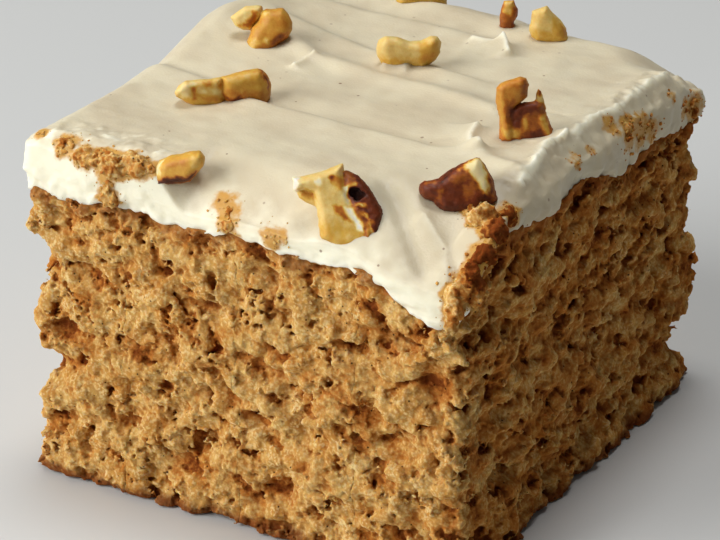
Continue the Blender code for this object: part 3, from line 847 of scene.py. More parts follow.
def fresh_share(points):
    """How white the frosting is at each point, freshly cut and painted light: most on the lit
    front wall and on the crests, least on top.
    """
    x, y, z = points.T
    front = smooth((-y - HALF_Y + 8.5) / 8.5)
    below_top = frosting_height(x, y) - z
    share = front * np.maximum(smooth((below_top + 1.0) / 3.0), 0.45 * smooth((16.0 - x) / 8.0))
    share = share + 0.25 * rough(points, 2.6) * smooth(front * 4.0)
    # Painted highlights on the worked lumps at the left of the front
    lumps = smooth(rough(points, 2.4, 3) * 1.4)
    share = np.maximum(share, 0.8 * worked_share(x, y) * lumps)
    # Painted highlights on the crests that the knife has curled up
    for kind, height, reach, places in STROKES:
        if kind == "curl":
            lift = stroke_height(x, y, kind, 1.0, reach, places) * smooth(1.2 - below_top)
            share = np.maximum(share, 0.6 * height * smooth((lift - 0.4) / 0.6))
    return share


def frosting_material(settings):
    """Cream-cheese frosting with a warm tint, painted light on the front wall and crests, cinnamon
    specks and smears of crumb.
    """
    def colour(nodes, place):
        tint = nodes.noise(place, 9.0, 2.0)
        base = nodes.mixed(tint.rise(0.35, 0.7), settings.cream, settings.tint)
        # Freshly cut white together with painted light on the front wall and the crests
        fresh = nodes.attribute("fresh") + (nodes.noise(place, 2.5, 2.0) - 0.5) * 0.5
        base = nodes.mixed(fresh.rise(0.1, 0.9), base, settings.fresh)
        near = nodes.cells(place, 2.1)
        pick = nodes.add("ShaderNodeSeparateColor", None, (near.output("Color"),))
        size = pick.output("Green") * 0.16 + 0.06
        speck = (near * 2.1 - size).rise(0.08, -0.02) * pick.rise(0.55, 0.6)
        base = nodes.mixed(speck * (pick.output("Blue") * 0.6 + 0.2), base, settings.speck)
        smear = (nodes.attribute("crumbs") + (nodes.noise(place, 1.6, 3.0) - 0.5) * 1.6)
        return nodes.mixed(smear.rise(0.35, 0.9) * 0.95, base, settings.smear)

    def height(nodes, place):
        return nodes.noise(place, 1.4, 3.0) * 0.6 + nodes.noise(place, 0.35, 2.0) * 0.4

    return finish_material(
        "Cream frosting", colour, height, relief=0.07, roughness=0.45, gloss=0.35, scatter=0.6,
        radius=(1.6, 1.5, 1.3))


# Walnut pieces. Outlines are noted in pixels of the photograph and are turned into
# millimetres in the upright plane of each piece. A form has a tone, how far back its foot
# stands, how much it leans back, half its thickness, how far its edge is rounded, and its
# outline. A hollow has its middle, its radius and its tone. A mark is a patch of another
# tone on the side that faces the camera. Tone runs from 0, frosting, by 0.25, pale flesh,
# 0.42, golden flesh, and 0.8, brown skin, to 1, black. A turn, in degrees, is what a piece
# has beyond the camera's own turn.
WALNUTS = {
    "walnut_front": {
        "at": (15.3, -34.8), "sink": 0.3,
        "forms": (
            (0.33, 0.6, 0.55, 1.7, 1, ((292, 177), (300, 177), (322, 171), (343, 163), (343, 173),
             (346, 186), (352, 202), (362, 212), (372, 222), (373, 236), (368, 245), (350, 244),
             (335, 240), (321, 232), (318, 217), (316, 203), (313, 193), (304, 190), (294, 191))),
            (0.84, 0, 0.7, 1.5, 1.2, ((342, 172), (346, 170), (353, 173), (358, 175),
             (364, 181), (370, 188), (376, 198), (381, 206), (384, 214), (382, 222), (379, 233),
             (374, 230), (368, 240), (356, 226), (348, 206), (340, 190))),
            (0.4, 1.6, 0.5, 1, 0.7, ((296, 189), (304, 188), (314, 190), (319, 200), (319, 208),
             (308, 203), (299, 198))),
        ),
        # The hollows are carved, and their near-black tone is painted shade
        "hollows": (
            ((354.5, 192), 0.8, 0.94), ((359, 196), 0.85, 0.94)),
        "marks": (
            (0.03, ((290, 175), (300, 175), (301, 184), (298, 193), (290, 193))),
            (0.54, ((301, 191), (306, 189), (314, 192), (316, 198), (308, 198), (301, 196))),
            (0.06, ((315, 181), (319, 179), (323, 181), (320, 185), (316, 185))),
            (0.55, ((329, 182), (332, 176), (338, 173), (344, 178), (346, 190), (338, 191),
             (335, 184))),
            (0.88, ((329, 181), (331, 176), (334, 175), (333, 180), (331, 183))),
            (0.1, ((343, 187), (352, 182), (360, 182), (351, 187), (347, 195), (352, 203),
             (364, 203), (366, 208), (356, 208), (347, 204), (343, 196))),
            (0.92, ((350, 203), (366, 208), (369, 214), (360, 211))),
            (0.72, ((333, 205), (343, 206), (346, 212), (350, 219), (355, 224), (348, 222),
             (341, 217), (335, 212))),
            (0.62, ((336, 208), (342, 209), (343, 214), (338, 212))),
            (0, ((344, 207), (352, 209), (357, 217), (363, 226), (364, 233), (359, 231),
             (352, 220), (346, 213))),
            (0.58, ((357, 210), (364, 210), (365, 216), (358, 217))),
            (0.12, ((363, 212), (368, 214), (372, 224), (376, 240), (371, 244), (369, 226))),
            (0.5, ((365, 223), (369, 222), (372, 232), (370, 240), (366, 236))),
            (0.7, ((344, 171), (350, 171), (358, 178), (352, 184), (346, 184))),
            (0.4, ((324, 222), (336, 222), (350, 230), (364, 238), (356, 244), (335, 240),
             (326, 232))),
        ),
    },
    "walnut_dark": {
        "at": (27.0, -25.3), "sink": 0.6,
        "forms": (
            (0.82, 1.1, 0.3, 2.2, 1.6, ((419, 189), (420, 184), (424, 181), (432, 180),
             (439, 178), (445, 173), (452, 168), (458, 165), (467, 161), (476, 157), (480, 158),
             (484, 163), (489, 172), (494, 180), (496, 192), (498, 200), (492, 205), (480, 208),
             (468, 210), (449, 211), (440, 208), (433, 202), (425, 199), (420, 194))),
        ),
        "marks": (
            (0.66, ((425, 182), (438, 179), (436, 185), (424, 184))),
            (0.82, ((420, 186), (434, 186), (434, 200), (424, 197))),
            (0.7, ((488, 168), (495, 182), (498, 200), (492, 205), (491, 190))),
            (0.72, ((448, 178), (456, 171), (466, 170), (470, 166), (474, 174), (472, 180),
             (462, 184), (450, 184))),
            (0.97, ((434, 186), (440, 181), (448, 172), (456, 167), (458, 170), (449, 175),
             (442, 184), (436, 188))),
            (0.2, ((456, 170), (466, 162), (478, 156), (484, 160), (487, 172), (489, 186),
             (490, 197), (483, 196), (478, 186), (473, 177), (468, 171))),
            (0.72, ((436, 190), (444, 188), (442, 200), (441, 206), (437, 202))),
            (0.9, ((441, 206), (470, 206), (481, 194), (487, 190), (489, 202), (470, 210),
             (450, 211))),
            (0.7, ((462, 186), (474, 180), (480, 187), (476, 194), (466, 202), (462, 196))),
        ),
    },
    "walnut_curled": {
        "at": (25.5, -4.7), "sink": 0.5,
        "forms": (
            (0.54, 0, 0.1, 1.5, 1.1, ((496, 96), (496, 88), (500, 84), (507, 81), (514, 79),
             (520, 77), (526, 79), (529, 85), (527, 90), (527, 97), (521, 102), (515, 107),
             (513, 118), (515, 139), (507, 139), (500, 136), (500, 120), (497, 106))),
            (0.72, 0.5, 0.1, 1.6, 1.1, ((508, 108), (516, 105), (525, 102), (536, 101), (543, 104),
             (546, 113), (549, 120), (553, 131), (556, 140), (548, 141), (540, 139), (526, 142),
             (508, 140))),
            (0.3, 0.6, 0.1, 0.5, 0.45, ((536, 108), (536, 94), (538, 89), (541, 91), (543, 97),
             (545, 108))),
        ),
        "marks": (
            (0.84, ((506, 109), (516, 105), (528, 102), (537, 102), (540, 112), (530, 114),
             (524, 116), (522, 129), (514, 129), (509, 116))),
            (0.5, ((496, 92), (503, 92), (507, 104), (505, 124), (500, 124), (498, 106))),
            (0.66, ((504, 100), (514, 99), (517, 104), (510, 109), (506, 107))),
            (0.72, ((504, 108), (509, 110), (513, 126), (506, 124))),
            (0.4, ((501, 128), (513, 128), (523, 132), (520, 138), (508, 139), (502, 136))),
            (0.42, ((523, 116), (528, 114), (528, 130), (524, 132), (522, 124))),
            (0.7, ((529, 117), (537, 116), (538, 130), (530, 134))),
            (0.9, ((531, 132), (540, 130), (546, 137), (540, 140), (531, 139))),
            (0.4, ((538, 118), (546, 113), (549, 122), (551, 130), (556, 140), (548, 138),
             (541, 126))),
            (0.72, ((536, 104), (544, 103), (546, 112), (540, 113))),
            (0.68, ((521, 78), (526, 80), (529, 86), (527, 97), (522, 100), (522, 88))),
            (0.8, ((514, 86), (520, 87), (518, 89), (514, 88))),
            (0.78, ((536, 94), (538, 89), (542, 91), (540, 96))),
        ),
    },
    "walnut_back_left": {
        "at": (-21.9, 5.2), "sink": 0.8,
        "forms": (
            (0.5, 0.3, 0.4, 2, 1.7, ((262, 12), (266, 9), (273, 9), (283, 8), (288, 14),
             (292, 22), (292, 30), (288, 37), (282, 42), (272, 46), (264, 50), (254, 52),
             (246, 50), (247, 42), (250, 34), (252, 27), (258, 21))),
            (0.3, 0.7, 0.4, 1.3, 0.9, ((230, 17), (238, 11), (246, 6), (256, 5), (262, 6),
             (262, 14), (255, 23), (250, 30), (243, 30), (236, 26))),
        ),
        "marks": (
            (0.66, ((253, 11), (258, 10), (259, 16), (255, 22), (249, 28), (243, 28), (238, 25),
             (246, 21))),
            (0.74, ((260, 5), (266, 8), (268, 11), (262, 9))),
            (0.34, ((263, 11), (270, 11), (268, 17), (262, 16))),
            (0.54, ((277, 20), (290, 22), (290, 34), (278, 33))),
            (0.74, ((270, 41), (277, 34), (288, 32), (286, 40), (273, 46))),
            (0.25, ((265, 38), (269, 39), (268, 44), (264, 43))),
            (0.38, ((247, 40), (256, 38), (262, 44), (252, 51), (246, 48))),
        ),
    },
    "walnut_long": {
        "at": (-15.6, -13.6), "turn": 15, "sink": 0.6,
        "forms": (
            (0.46, 0.5, 0, 2, 1.8, ((222, 77), (232, 74), (244, 71), (258, 69), (263, 70),
             (268, 76), (271, 84), (271, 92), (268, 99), (262, 102), (250, 101), (241, 103),
             (233, 104), (226, 101), (221, 94))),
            (0.36, 0.5, 0, 1.5, 1.2, ((175, 92), (179, 85), (186, 81), (196, 80), (208, 79),
             (222, 77), (226, 100), (233, 103), (220, 104), (204, 103), (192, 101), (182, 99),
             (176, 96))),
        ),
        "marks": (
            (0.56, ((226, 90), (248, 92), (262, 92), (268, 96), (262, 101), (240, 102),
             (228, 98))),
            (0.8, ((257, 69), (263, 70), (268, 76), (271, 84), (269, 90), (266, 82), (262, 75))),
            (0.84, ((222, 93), (230, 99), (240, 96), (243, 101), (236, 105), (229, 104))),
            (0.38, ((224, 78), (238, 74), (252, 72), (254, 78), (240, 84), (224, 86))),
            (0.56, ((203, 82), (212, 81), (213, 88), (204, 88))),
            (0.6, ((217, 82), (222, 84), (223, 90), (218, 90))),
            (0.22, ((198, 88), (206, 88), (209, 94), (200, 93))),
            (0.25, ((211, 90), (220, 88), (222, 94), (213, 95))),
            (0.22, ((175, 92), (182, 84), (191, 81), (200, 82), (196, 86), (191, 88), (191, 98),
             (182, 98))),
            (0.62, ((192, 88), (197, 87), (196, 97), (198, 100), (193, 100))),
            (0.52, ((198, 95), (222, 97), (228, 102), (204, 102))),
        ),
    },
    "walnut_in_edge": {
        "at": (-10.0, -33.4), "turn": -18, "sink": 2,
        "forms": (
            (0.46, -1.3, 0.2, 2.1, 1.3, ((156, 180), (155, 168), (160, 160), (170, 156),
             (182, 154), (192, 151), (200, 151), (205, 157), (204, 165), (199, 171), (190, 176),
             (178, 178), (166, 180))),
        ),
        "marks": (
            (0.54, ((164, 162), (186, 159), (188, 166), (176, 169), (165, 170))),
            (0.38, ((189, 154), (200, 154), (203, 160), (202, 170), (192, 170))),
            (0.14, ((155, 176), (155, 166), (160, 159), (164, 160), (161, 168), (160, 178))),
            # Brown skin under the piece, with a painted shadow line where it meets the frosting
            (0.92, ((156, 182), (168, 177), (184, 177), (196, 171), (200, 174), (188, 184),
             (160, 187))),
        ),
    },
    "walnut_pale": {
        "at": (-0.4, 9.6), "sink": 0.6,
        "forms": (
            (0.32, 1.1, 0, 2, 1.6, ((379, 40), (386, 36), (398, 37), (410, 41), (421, 41),
             (431, 36), (437, 37), (441, 42), (440, 52), (435, 60), (424, 64), (415, 63),
             (411, 62), (405, 66), (394, 67), (384, 62), (377, 55), (377, 47))),
        ),
        "marks": (
            (0.42, ((418, 42), (440, 40), (441, 52), (434, 60), (420, 60))),
            (0.5, ((424, 54), (434, 50), (438, 56), (430, 63), (420, 63), (418, 58))),
            (0.44, ((380, 58), (404, 60), (404, 66), (394, 67), (384, 64))),
        ),
    },
    "walnut_upright": {
        "at": (4.6, 30.4), "sink": 0.5,
        "forms": (
            (0.66, 0.4, 0, 1.1, 0.9, ((499, 22), (501, 9), (504, 1), (514, 0), (518, 10),
             (517, 17), (514, 22), (517, 28), (508, 28), (500, 28))),
        ),
        "marks": (
            (0.36, ((502, 12), (505, 0), (514, 0), (514, 10), (511, 16), (507, 15))),
            (0.72, ((499, 22), (502, 17), (506, 22), (502, 28))),
            (0.74, ((513, 8), (518, 10), (517, 17), (513, 17))),
        ),
    },
    "walnut_back_right": {
        "at": (11.3, 29.7), "sink": 0.5,
        "forms": (
            (0.34, 0.4, 0.1, 1.9, 1.5, ((532, 11), (538, 9), (547, 6), (552, 12), (559, 19),
             (566, 28), (569, 36), (561, 40), (546, 41), (535, 37), (529, 29), (531, 20))),
        ),
        "marks": (
            (0.44, ((552, 16), (567, 30), (568, 38), (554, 40))),
            (0.54, ((560, 22), (566, 29), (568, 36), (563, 38))),
            (0.42, ((531, 32), (545, 32), (556, 36), (546, 41), (535, 37))),
        ),
    },
    "walnut_far": {
        "at": (-11.9, 33.6), "turn": 8, "sink": 0.5,
        "forms": (
            (0.3, 0.1, 0, 1.6, 1.3, ((396, 2), (397, -8), (404, -14), (416, -17), (428, -15),
             (438, -16), (446, -9), (447, 1), (436, 4), (420, 5), (406, 5))),
        ),
        "marks": (
            (0.42, ((396, 0), (420, -3), (447, -2), (447, 5), (396, 5))),
        ),
    },
}
# The camera's turn about the slice, which a piece with no turn of its own faces
ACROSS = math.radians(30.5)
# How softly the forms of a piece run into each other
FORM_BLEND = 0.22
HOLLOW_START = 0.3
HOLLOW_EDGE = 0.15
WRINKLE_DEPTH = 0.09
FOLD_DEPTH = 0.14
# Painted shade: how much darker a piece is at its foot, and how high that reaches
FOOT_SHADE = 0.1
FOOT_SHADE_HEIGHT = 2.5
# Edge of a mark: how far past its outline it starts, how softly it fades and how far it strays
MARK_START = 0.3
MARK_FADE = 0.8
MARK_WANDER = 0.35
# Forms that reach this low are carried on down into the frosting
FOOT_HEIGHT = 0.9
FOOT_DEPTH = 0.8
# Room round a piece, in its own directions, that its skin is looked for in
ROOM_BEFORE = (1.5, 0.6, 3.5)
ROOM_BEYOND = (1.0, 0.6, 1.0)


def seen(place):
    """The pixel of the photograph at which the camera shows a place on the slice."""
    eye = np.array(CAMERA_PLACE)
    ahead = np.array(CAMERA_AIM) - eye
    ahead = ahead / np.linalg.norm(ahead)
    right = np.cross(ahead, (0.0, 0.0, 1.0))
    right = right / np.linalg.norm(right)
    away = np.array(place) - (CENTRE_X, CENTRE_Y, 0.0) - eye
    scale = PHOTO_WIDTH * CAMERA_LENS / CAMERA_SENSOR / (away @ ahead)
    return np.array((PHOTO_WIDTH / 2 + scale * (away @ right),
                     PHOTO_HEIGHT / 2 - scale * (away @ np.cross(right, ahead))))


class Kernel:
    """One walnut piece in its own directions: across, back and up from where it rests."""

    def __init__(self, at, sink, forms, marks, turn=0, hollows=()):
        rests = float(frosting_height(np.float64(at[0]), np.float64(at[1]))) - sink
        self.place = np.array((*at, rests))
        self.turn = np.array(Matrix.Rotation(ACROSS + math.radians(turn), 3, "Z"))
        eye = np.array(CAMERA_PLACE) + (CENTRE_X, CENTRE_Y, 0.0)
        sight = self.turn.T @ (self.place - eye)
        self.to_camera = -sight / np.linalg.norm(sight)
        self.sight = sight / sight[1]
        self.forms = [(*form[:5], self.footed(self.in_plane(form[5]))) for form in forms]
        self.hollows = [(self.in_plane([middle])[0], *rest) for middle, *rest in hollows]
        self.marks = [(tone, self.in_plane(outline)) for tone, outline in marks]

    def in_plane(self, pixels):
        """Turns pixels into millimetres across and up, in the upright plane of the piece."""
        start = seen(self.place)
        across = seen(self.place + self.turn @ (1, 0, 0)) - start
        up = seen(self.place + self.turn @ (0, 0, 1)) - start
        return np.linalg.solve(np.stack([across, up], axis=1), (np.array(pixels) - start).T).T

    def footed(self, outline):
        """The outline of a form with its foot in the frosting."""
        outline[outline[:, 1] < FOOT_HEIGHT, 1] -= FOOT_DEPTH
        return outline

    def flat(self, points):
        """Where the camera sees these points in the upright plane of the piece."""
        return (points - points[..., 1:2] * self.sight)[..., ::2]

    def depth(self, points, start, lean):
        """How far these points lie behind the middle of a form."""
        return (points[..., 1] - start - lean * points[..., 2]) / math.hypot(1.0, lean)

    def form_distances(self, points):
        """Distances of these points from the skin of each form, less than 0 inside it."""
        flat = self.flat(points)
        for _, start, lean, thick, edge, outline in self.forms:
            beyond = outline_distance(flat, outline)
            depth = np.abs(self.depth(points, start, lean))
            near = np.clip(1 + beyond / edge, 0.0, 1.0)
            skin = depth - thick * np.sqrt(1 - near * near)
            yield np.where(beyond < 0, skin, np.hypot(depth, beyond))

    def rim_distance(self, flat, middle, radius):
        """Distance of flat places from the uneven rim of a hollow, less than 0 inside it."""
        away = flat - middle
        turn = np.arctan2(away[..., 1], away[..., 0])
        uneven = 1 + 0.12 * np.sin(2 * turn + 0.6) + 0.1 * np.sin(3 * turn + 1.0)
        return np.linalg.norm(away, axis=-1) - radius * uneven

    def distance(self, points):
        """About how far these points are from the skin of the piece, less than 0 inside."""
        away = -FORM_BLEND * np.log(
            sum(np.exp(-distance / FORM_BLEND) for distance in self.form_distances(points)))
        flat = self.flat(points)
        for middle, radius, _ in self.hollows:
            ring = self.rim_distance(flat, middle, radius)
            behind = self.depth(points, *self.forms[0][1:3]) + HOLLOW_START
            away = np.maximum(away, -np.maximum(ring, behind) - HOLLOW_EDGE)
        return away

    def tone(self, points, normals):
        """How dark the flesh or the skin is at each point."""
        weights = [np.exp(-distance / 0.2) for distance in self.form_distances(points)]
        tone = sum(w * form[0] for w, form in zip(weights, self.forms)) / sum(weights)
        # Painted shade, darker towards the foot where the piece sits in the frosting
        low = smooth(1 - points[:, 2] / FOOT_SHADE_HEIGHT)
        tone = tone + FOOT_SHADE * low * smooth((tone - 0.2) / 0.1)
        facing = smooth(normals @ self.to_camera / 0.3)
        wander = MARK_WANDER * rough(points, 0.8, 3)
        flat = self.flat(points)
        for dark, outline in self.marks:
            within = MARK_START - outline_distance(flat, outline) + wander
            share = smooth(within / MARK_FADE) * facing
            tone = tone * (1 - share) + dark * share
        # Painted shade: the hollows are nearly black inside
        for middle, radius, dark in self.hollows:
            ring = self.rim_distance(flat, middle, radius)
            share = smooth((HOLLOW_EDGE - ring + 0.5 * wander) / 0.3)
            tone = tone * (1 - share) + dark * share
        return tone

    def skin(self, voxel):
        """Points and faces of the piece, closed, about the place where it rests."""
        corners = np.vstack([form[5] for form in self.forms])
        far = max(form[1] + form[2] * corners[:, 1].max() + form[3] for form in self.forms)
        near = min(form[1] - form[3] for form in self.forms)
        low = np.array((corners[:, 0].min(), near, corners[:, 1].min())) - ROOM_BEFORE
        high = np.array((corners[:, 0].max(), far, corners[:, 1].max())) + ROOM_BEYOND
        counts = ((high - low) / voxel).astype(int) + 1
        grid = np.stack(np.meshgrid(
            *(low[i] + voxel * np.arange(counts[i]) for i in range(3)), indexing="ij"), axis=-1)
        field = openvdb.FloatGrid(1.0)
        field.copyFromArray(self.distance(grid).astype(np.float32))
        points, _, quads = field.convertToPolygons(0.0, 0.0)
        return points * voxel + low, quads


def outline_distance(flat, outline):
    """Distance of flat places from an outline, less than 0 inside it."""
    nearest = np.full(flat.shape[:-1], np.inf)
    inside = np.zeros(flat.shape[:-1], dtype=bool)
    for start, end in zip(outline, np.roll(outline, -1, axis=0)):
        along = end - start
        away = flat - start
        share = np.clip(away @ along / (along @ along), 0.0, 1.0)
        nearest = np.minimum(nearest, np.linalg.norm(away - share[..., None] * along, axis=-1))
        crosses = (start[1] > flat[..., 1]) != (end[1] > flat[..., 1])
        level = start[0] + away[..., 1] * along[0] / (along[1] or 1e-9)
        inside ^= crosses & (flat[..., 0] < level)
    return np.where(inside, -nearest, nearest)


def normals_of(points, faces):
    """The way the surface faces at each of its points."""
    mesh = bpy.data.meshes.new("normals")
    mesh.from_pydata(points.tolist(), [], faces.tolist())
    facing = np.empty(len(points) * 3, dtype=np.float32)
    mesh.vertex_normals.foreach_get("vector", facing)
    bpy.data.meshes.remove(mesh)
    return facing.reshape(-1, 3)


def walnut_piece(name, notes, voxel, material):
    """One walnut piece with its wrinkles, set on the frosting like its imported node."""
    kernel = Kernel(**notes)
    points, faces = kernel.skin(voxel)
    normals = normals_of(points, faces)
    tone = kernel.tone(points, normals)
    folds = np.abs(rough(points * (0.6, 1, 1), 0.7)) * smooth((tone - 0.5) / 0.2)
    wrinkles = WRINKLE_DEPTH * rough(points, 2.0) - FOLD_DEPTH * folds
    points = points + normals * wrinkles[:, None]
    points = points @ kernel.turn.T + kernel.place
    return mesh_object(name + "_kernel", points, faces, material, {"tone": tone})


def walnut_material(settings):
    """Walnut flesh and papery skin, with painted shade in folds and hollows, by the tone stored on
    each piece.
    """
    def colour(nodes, place):
        veins = nodes.noise(place, 0.8, 3.0, 0.6) - 0.5
        tone = nodes.attribute("tone")
        tone = tone + veins * 0.22 * tone.rise(0.1, 0.4)
        # Tone 1, black, is painted shade in folds and hollows
        return nodes.add(
            "ShaderNodeValToRGB",
            {"stops": (
                (0.0, settings.frosting), (0.1, settings.white), (0.25, settings.pale),
                (0.42, settings.golden), (0.6, settings.amber), (0.8, settings.skin),
                (1.0, settings.dark))},
            (tone,))

    def height(nodes, place):
        return nodes.noise(place, 0.45, 3.0, 0.6)

    return finish_material(
        "Walnut kernel", colour, height, relief=0.06, roughness=0.5, gloss=0.3, scatter=0.4,
        radius=(1.0, 0.5, 0.25))


LUMP_SHAPES = 6
LUMP_UNEVENNESS = 0.75
STREWN_SEED = 4
# Clumps of crumb: size and height of their swells, grains and grit, how thick they are, the
# share of crumbs that lifts one off the frosting, and the share that leaves the frosting bare
CLUMP_SWELLS = (2.1, 3.4)
CLUMP_GRAINS = (0.75, 0.8)
CLUMP_GRIT = (0.5, 0.9)
CLUMP_THICKNESS = 2.6
LIFTING_SHARE = 0.95
BARE_SHARE = 0.9


def lump(name, seed, collection):
    """A small uneven crumb of about 1 millimetre with few faces, for scattering."""
    bm = bmesh.new()
    bmesh.ops.create_icosphere(bm, subdivisions=1, radius=0.5 * MM)
    for vert in bm.verts:
        push = noise.noise(vert.co / MM * 2.2 + Vector((seed * 7.0, 3.0, 1.0)))
        vert.co *= 1 + LUMP_UNEVENNESS * push
    bmesh.ops.recalc_face_normals(bm, faces=bm.faces[:])
    mesh = bpy.data.meshes.new(name)
    bm.to_mesh(mesh)
    bm.free()
    collection.objects.link(bpy.data.objects.new(name, mesh))


def stuck_tree():
    """Geometry Nodes that grow clumps of crumb where the frosting has the attribute crumbs."""
    tree, nodes, (surface, low, high, grain, finish) = new_tree("Stuck crumbs", {
        "Surface": "Geometry", "Low": "Vector", "High": "Vector", "Grain": "Float",
        "Finish": "Material"}, "Clumps")
    place = nodes.scaled(nodes.add("GeometryNodeInputPosition"), 1 / MM)
    above = nodes.add(
        "GeometryNodeProximity", {"target_element": "FACES"}, {"Geometry": surface},
        output="Distance") / MM
    share = nodes.add(
        "GeometryNodeSampleNearestSurface", {"data_type": "FLOAT"},
        {"Mesh": surface, "Value": nodes.stored("crumbs")})

    def waves(size, offset, detail=1.0):
        return nodes.noise(nodes.shifted(place, offset), size, detail) - 0.5

    lumps = waves(CLUMP_SWELLS[0], (3, 8, 1), 2.0) * CLUMP_SWELLS[1]
    grains = 0.45 - nodes.cells(nodes.shifted(place, (2, 2, 9)), CLUMP_GRAINS[0])
    grains = grains * CLUMP_GRAINS[1] + waves(CLUMP_GRIT[0], (6, 6, 6), 2.0) * CLUMP_GRIT[1]
    solid = (share - LIFTING_SHARE) * CLUMP_THICKNESS + lumps + grains - above
    solid = solid.least((share - BARE_SHARE) * 6.0)
    x = nodes.add("ShaderNodeSeparateXYZ", None, (place,))
    # Painted shade: by the front corner, clumps on the shaded right side are darker and those in
    # front of it paler
    corner = x.output("Y").rise(-18.0, -22.0) * x.output("Z").rise(41.0, 43.5)
    pit = waves(0.9, (1, 1, 4)) * 3.0 + waves(3.0, (5, 1, 4)) * 2.6 + 0.25
    pit = pit + x.rise(0.0, 10.0) * corner * (x.rise(31.3, 34.5) * 2.0 - 0.9)
    dressed = volume_skin(nodes, solid, low, high, grain, finish, pit, 9.0)
    nodes.add("NodeGroupOutput", None, (dressed,))
    return tree


def scatter_tree():
    """Geometry Nodes that strew crumbs over a surface where it has the attribute crumbs."""
    tree, nodes, (surface, lumps, density, smallest, largest, seed, finish) = new_tree(
        "Strewn crumbs", {
            "Surface": "Geometry", "Lumps": "Collection", "Density": "Float",
            "Smallest": "Float", "Largest": "Float", "Seed": "Int", "Finish": "Material"},
        "Crumbs")
    share = nodes.stored("crumbs")
    clumps = nodes.noise(nodes.scaled(nodes.add("GeometryNodeInputPosition"), 1 / MM), 1.6, 1.0)
    points = nodes.add(
        "GeometryNodeDistributePointsOnFaces", {"distribute_method": "RANDOM"},
        {"Mesh": surface, "Density": density * share * clumps.rise(0.35, 0.6), "Seed": seed})
    shapes = nodes.add(
        "GeometryNodeCollectionInfo", None,
        {"Collection": lumps, "Separate Children": True, "Reset Children": True})
    chance = nodes.add("FunctionNodeRandomValue", {"data_type": "FLOAT"}, {"Seed": seed})
    scale = (smallest + (largest - smallest) * chance * chance * chance) / MM
    turn = nodes.add(
        "FunctionNodeRandomValue", {"data_type": "FLOAT_VECTOR"},
        {"Max": (math.tau, math.tau, math.tau), "Seed": seed})
    strewn = nodes.add(
        "GeometryNodeInstanceOnPoints", None,
        {"Points": points, "Instance": shapes, "Pick Instance": True, "Rotation": turn,
         "Scale": scale})
    real = nodes.add("GeometryNodeRealizeInstances", None, {"Geometry": strewn})
    real = nodes.add(
        "GeometryNodeStoreNamedAttribute", {"data_type": "FLOAT", "domain": "POINT"},
        {"Geometry": real, "Name": "under_top", "Value": 9.0})
    dressed = nodes.add(
        "GeometryNodeSetMaterial", None, {"Geometry": real, "Material": finish})
    nodes.add("NodeGroupOutput", None, (dressed,))
    return tree


def length(name, default, description):
    """A size in millimetres, kept in metres."""
    return bpy.props.FloatProperty(
        name=name, description=description, default=default * MM, unit="LENGTH", precision=5)


def shade(name, steps, description):
    """A colour, given in the 0 to 255 steps of a screen."""
    return bpy.props.FloatVectorProperty(
        name=name, description=description, default=srgb(*steps), size=4, min=0.0, max=1.0,
        subtype="COLOR")


class CrumbSettings(bpy.types.PropertyGroup):
    """Sizes and colours of the spice crumb."""

    grain: length("Grain", 0.235, "Finest detail of the lit cut face")
    pores: bpy.props.FloatProperty(
        name="Pores", description="How large the pores are", default=1.0, subtype="FACTOR",
        min=0.0, max=2.0)
    tan: shade("Tan", (200, 157, 89), "Most of the crumb")
    warm: shade("Warm", (190, 138, 68), "Redder patches of the crumb")
    # Amber is moist patches and also painted shade in the shallower pits
    amber: shade("Amber", (166, 96, 32), "Small moist patches")
    # Pale is a painted highlight on the raised grains
    pale: shade("Pale", (222, 195, 138), "Grains that catch the light")
    # Deep is painted shade in the deepest pits and pores
    deep: shade("Deep", (106, 46, 12), "Inside the pores")
    crust: shade("Crust", (112, 56, 22), "The browned base")
    browned: shade("Browned top", (140, 78, 32), "The browned top under the frosting")
    speck: shade("Spice", (40, 20, 10), "Specks of spice")


class FrostingSettings(bpy.types.PropertyGroup):
    """Sizes and colours of the frosting."""

    spacing: length("Spacing", 0.36, "Distance between the points of the frosting's skin")
    cream: shade("Cream", (217, 206, 177), "Most of the frosting's top")
    tint: shade("Tint", (206, 192, 163), "Warmer patches of the frosting")
    # Fresh is the freshly cut sides and also painted light on the lit front wall and the knife's
    # crests
    fresh: shade("Fresh", (245, 239, 214), "The freshly cut sides of the frosting")
    speck: shade("Cinnamon", (120, 80, 50), "Specks of cinnamon")
    smear: shade("Smear", (204, 150, 60), "Crumb smeared into the frosting")


class WalnutSettings(bpy.types.PropertyGroup):
    """Sizes and colours of the walnut pieces."""

    voxel: length("Detail", 0.17, "Finest detail of a walnut piece")
    frosting: shade("Frosting", (226, 218, 206), "Frosting smeared on the nut")
    white: shade("White", (232, 222, 190), "The whitest flesh")
    pale: shade("Pale flesh", (230, 208, 140), "Fresh flesh")
    golden: shade("Golden flesh", (212, 166, 68), "Toasted flesh")
    amber: shade("Amber", (186, 110, 30), "Thin skin")
    skin: shade("Skin", (112, 46, 12), "Brown skin")
    # Dark is painted shade inside the folds and hollows
    dark: shade("Dark", (34, 14, 8), "Inside the folds")


class CrumbsSettings(bpy.types.PropertyGroup):
    """Sizes of the loose crumbs."""

    grain: length("Grain", 0.21, "Finest detail of the clumps of crumb")
    smallest: length("Smallest", 0.16, "Size of the smallest loose crumb")
    largest: length("Largest", 0.6, "Size of the largest loose crumb")
    density: bpy.props.FloatProperty(
        name="Density", description="Crumbs on each square metre where they lie thickest",
        default=3.0e6)


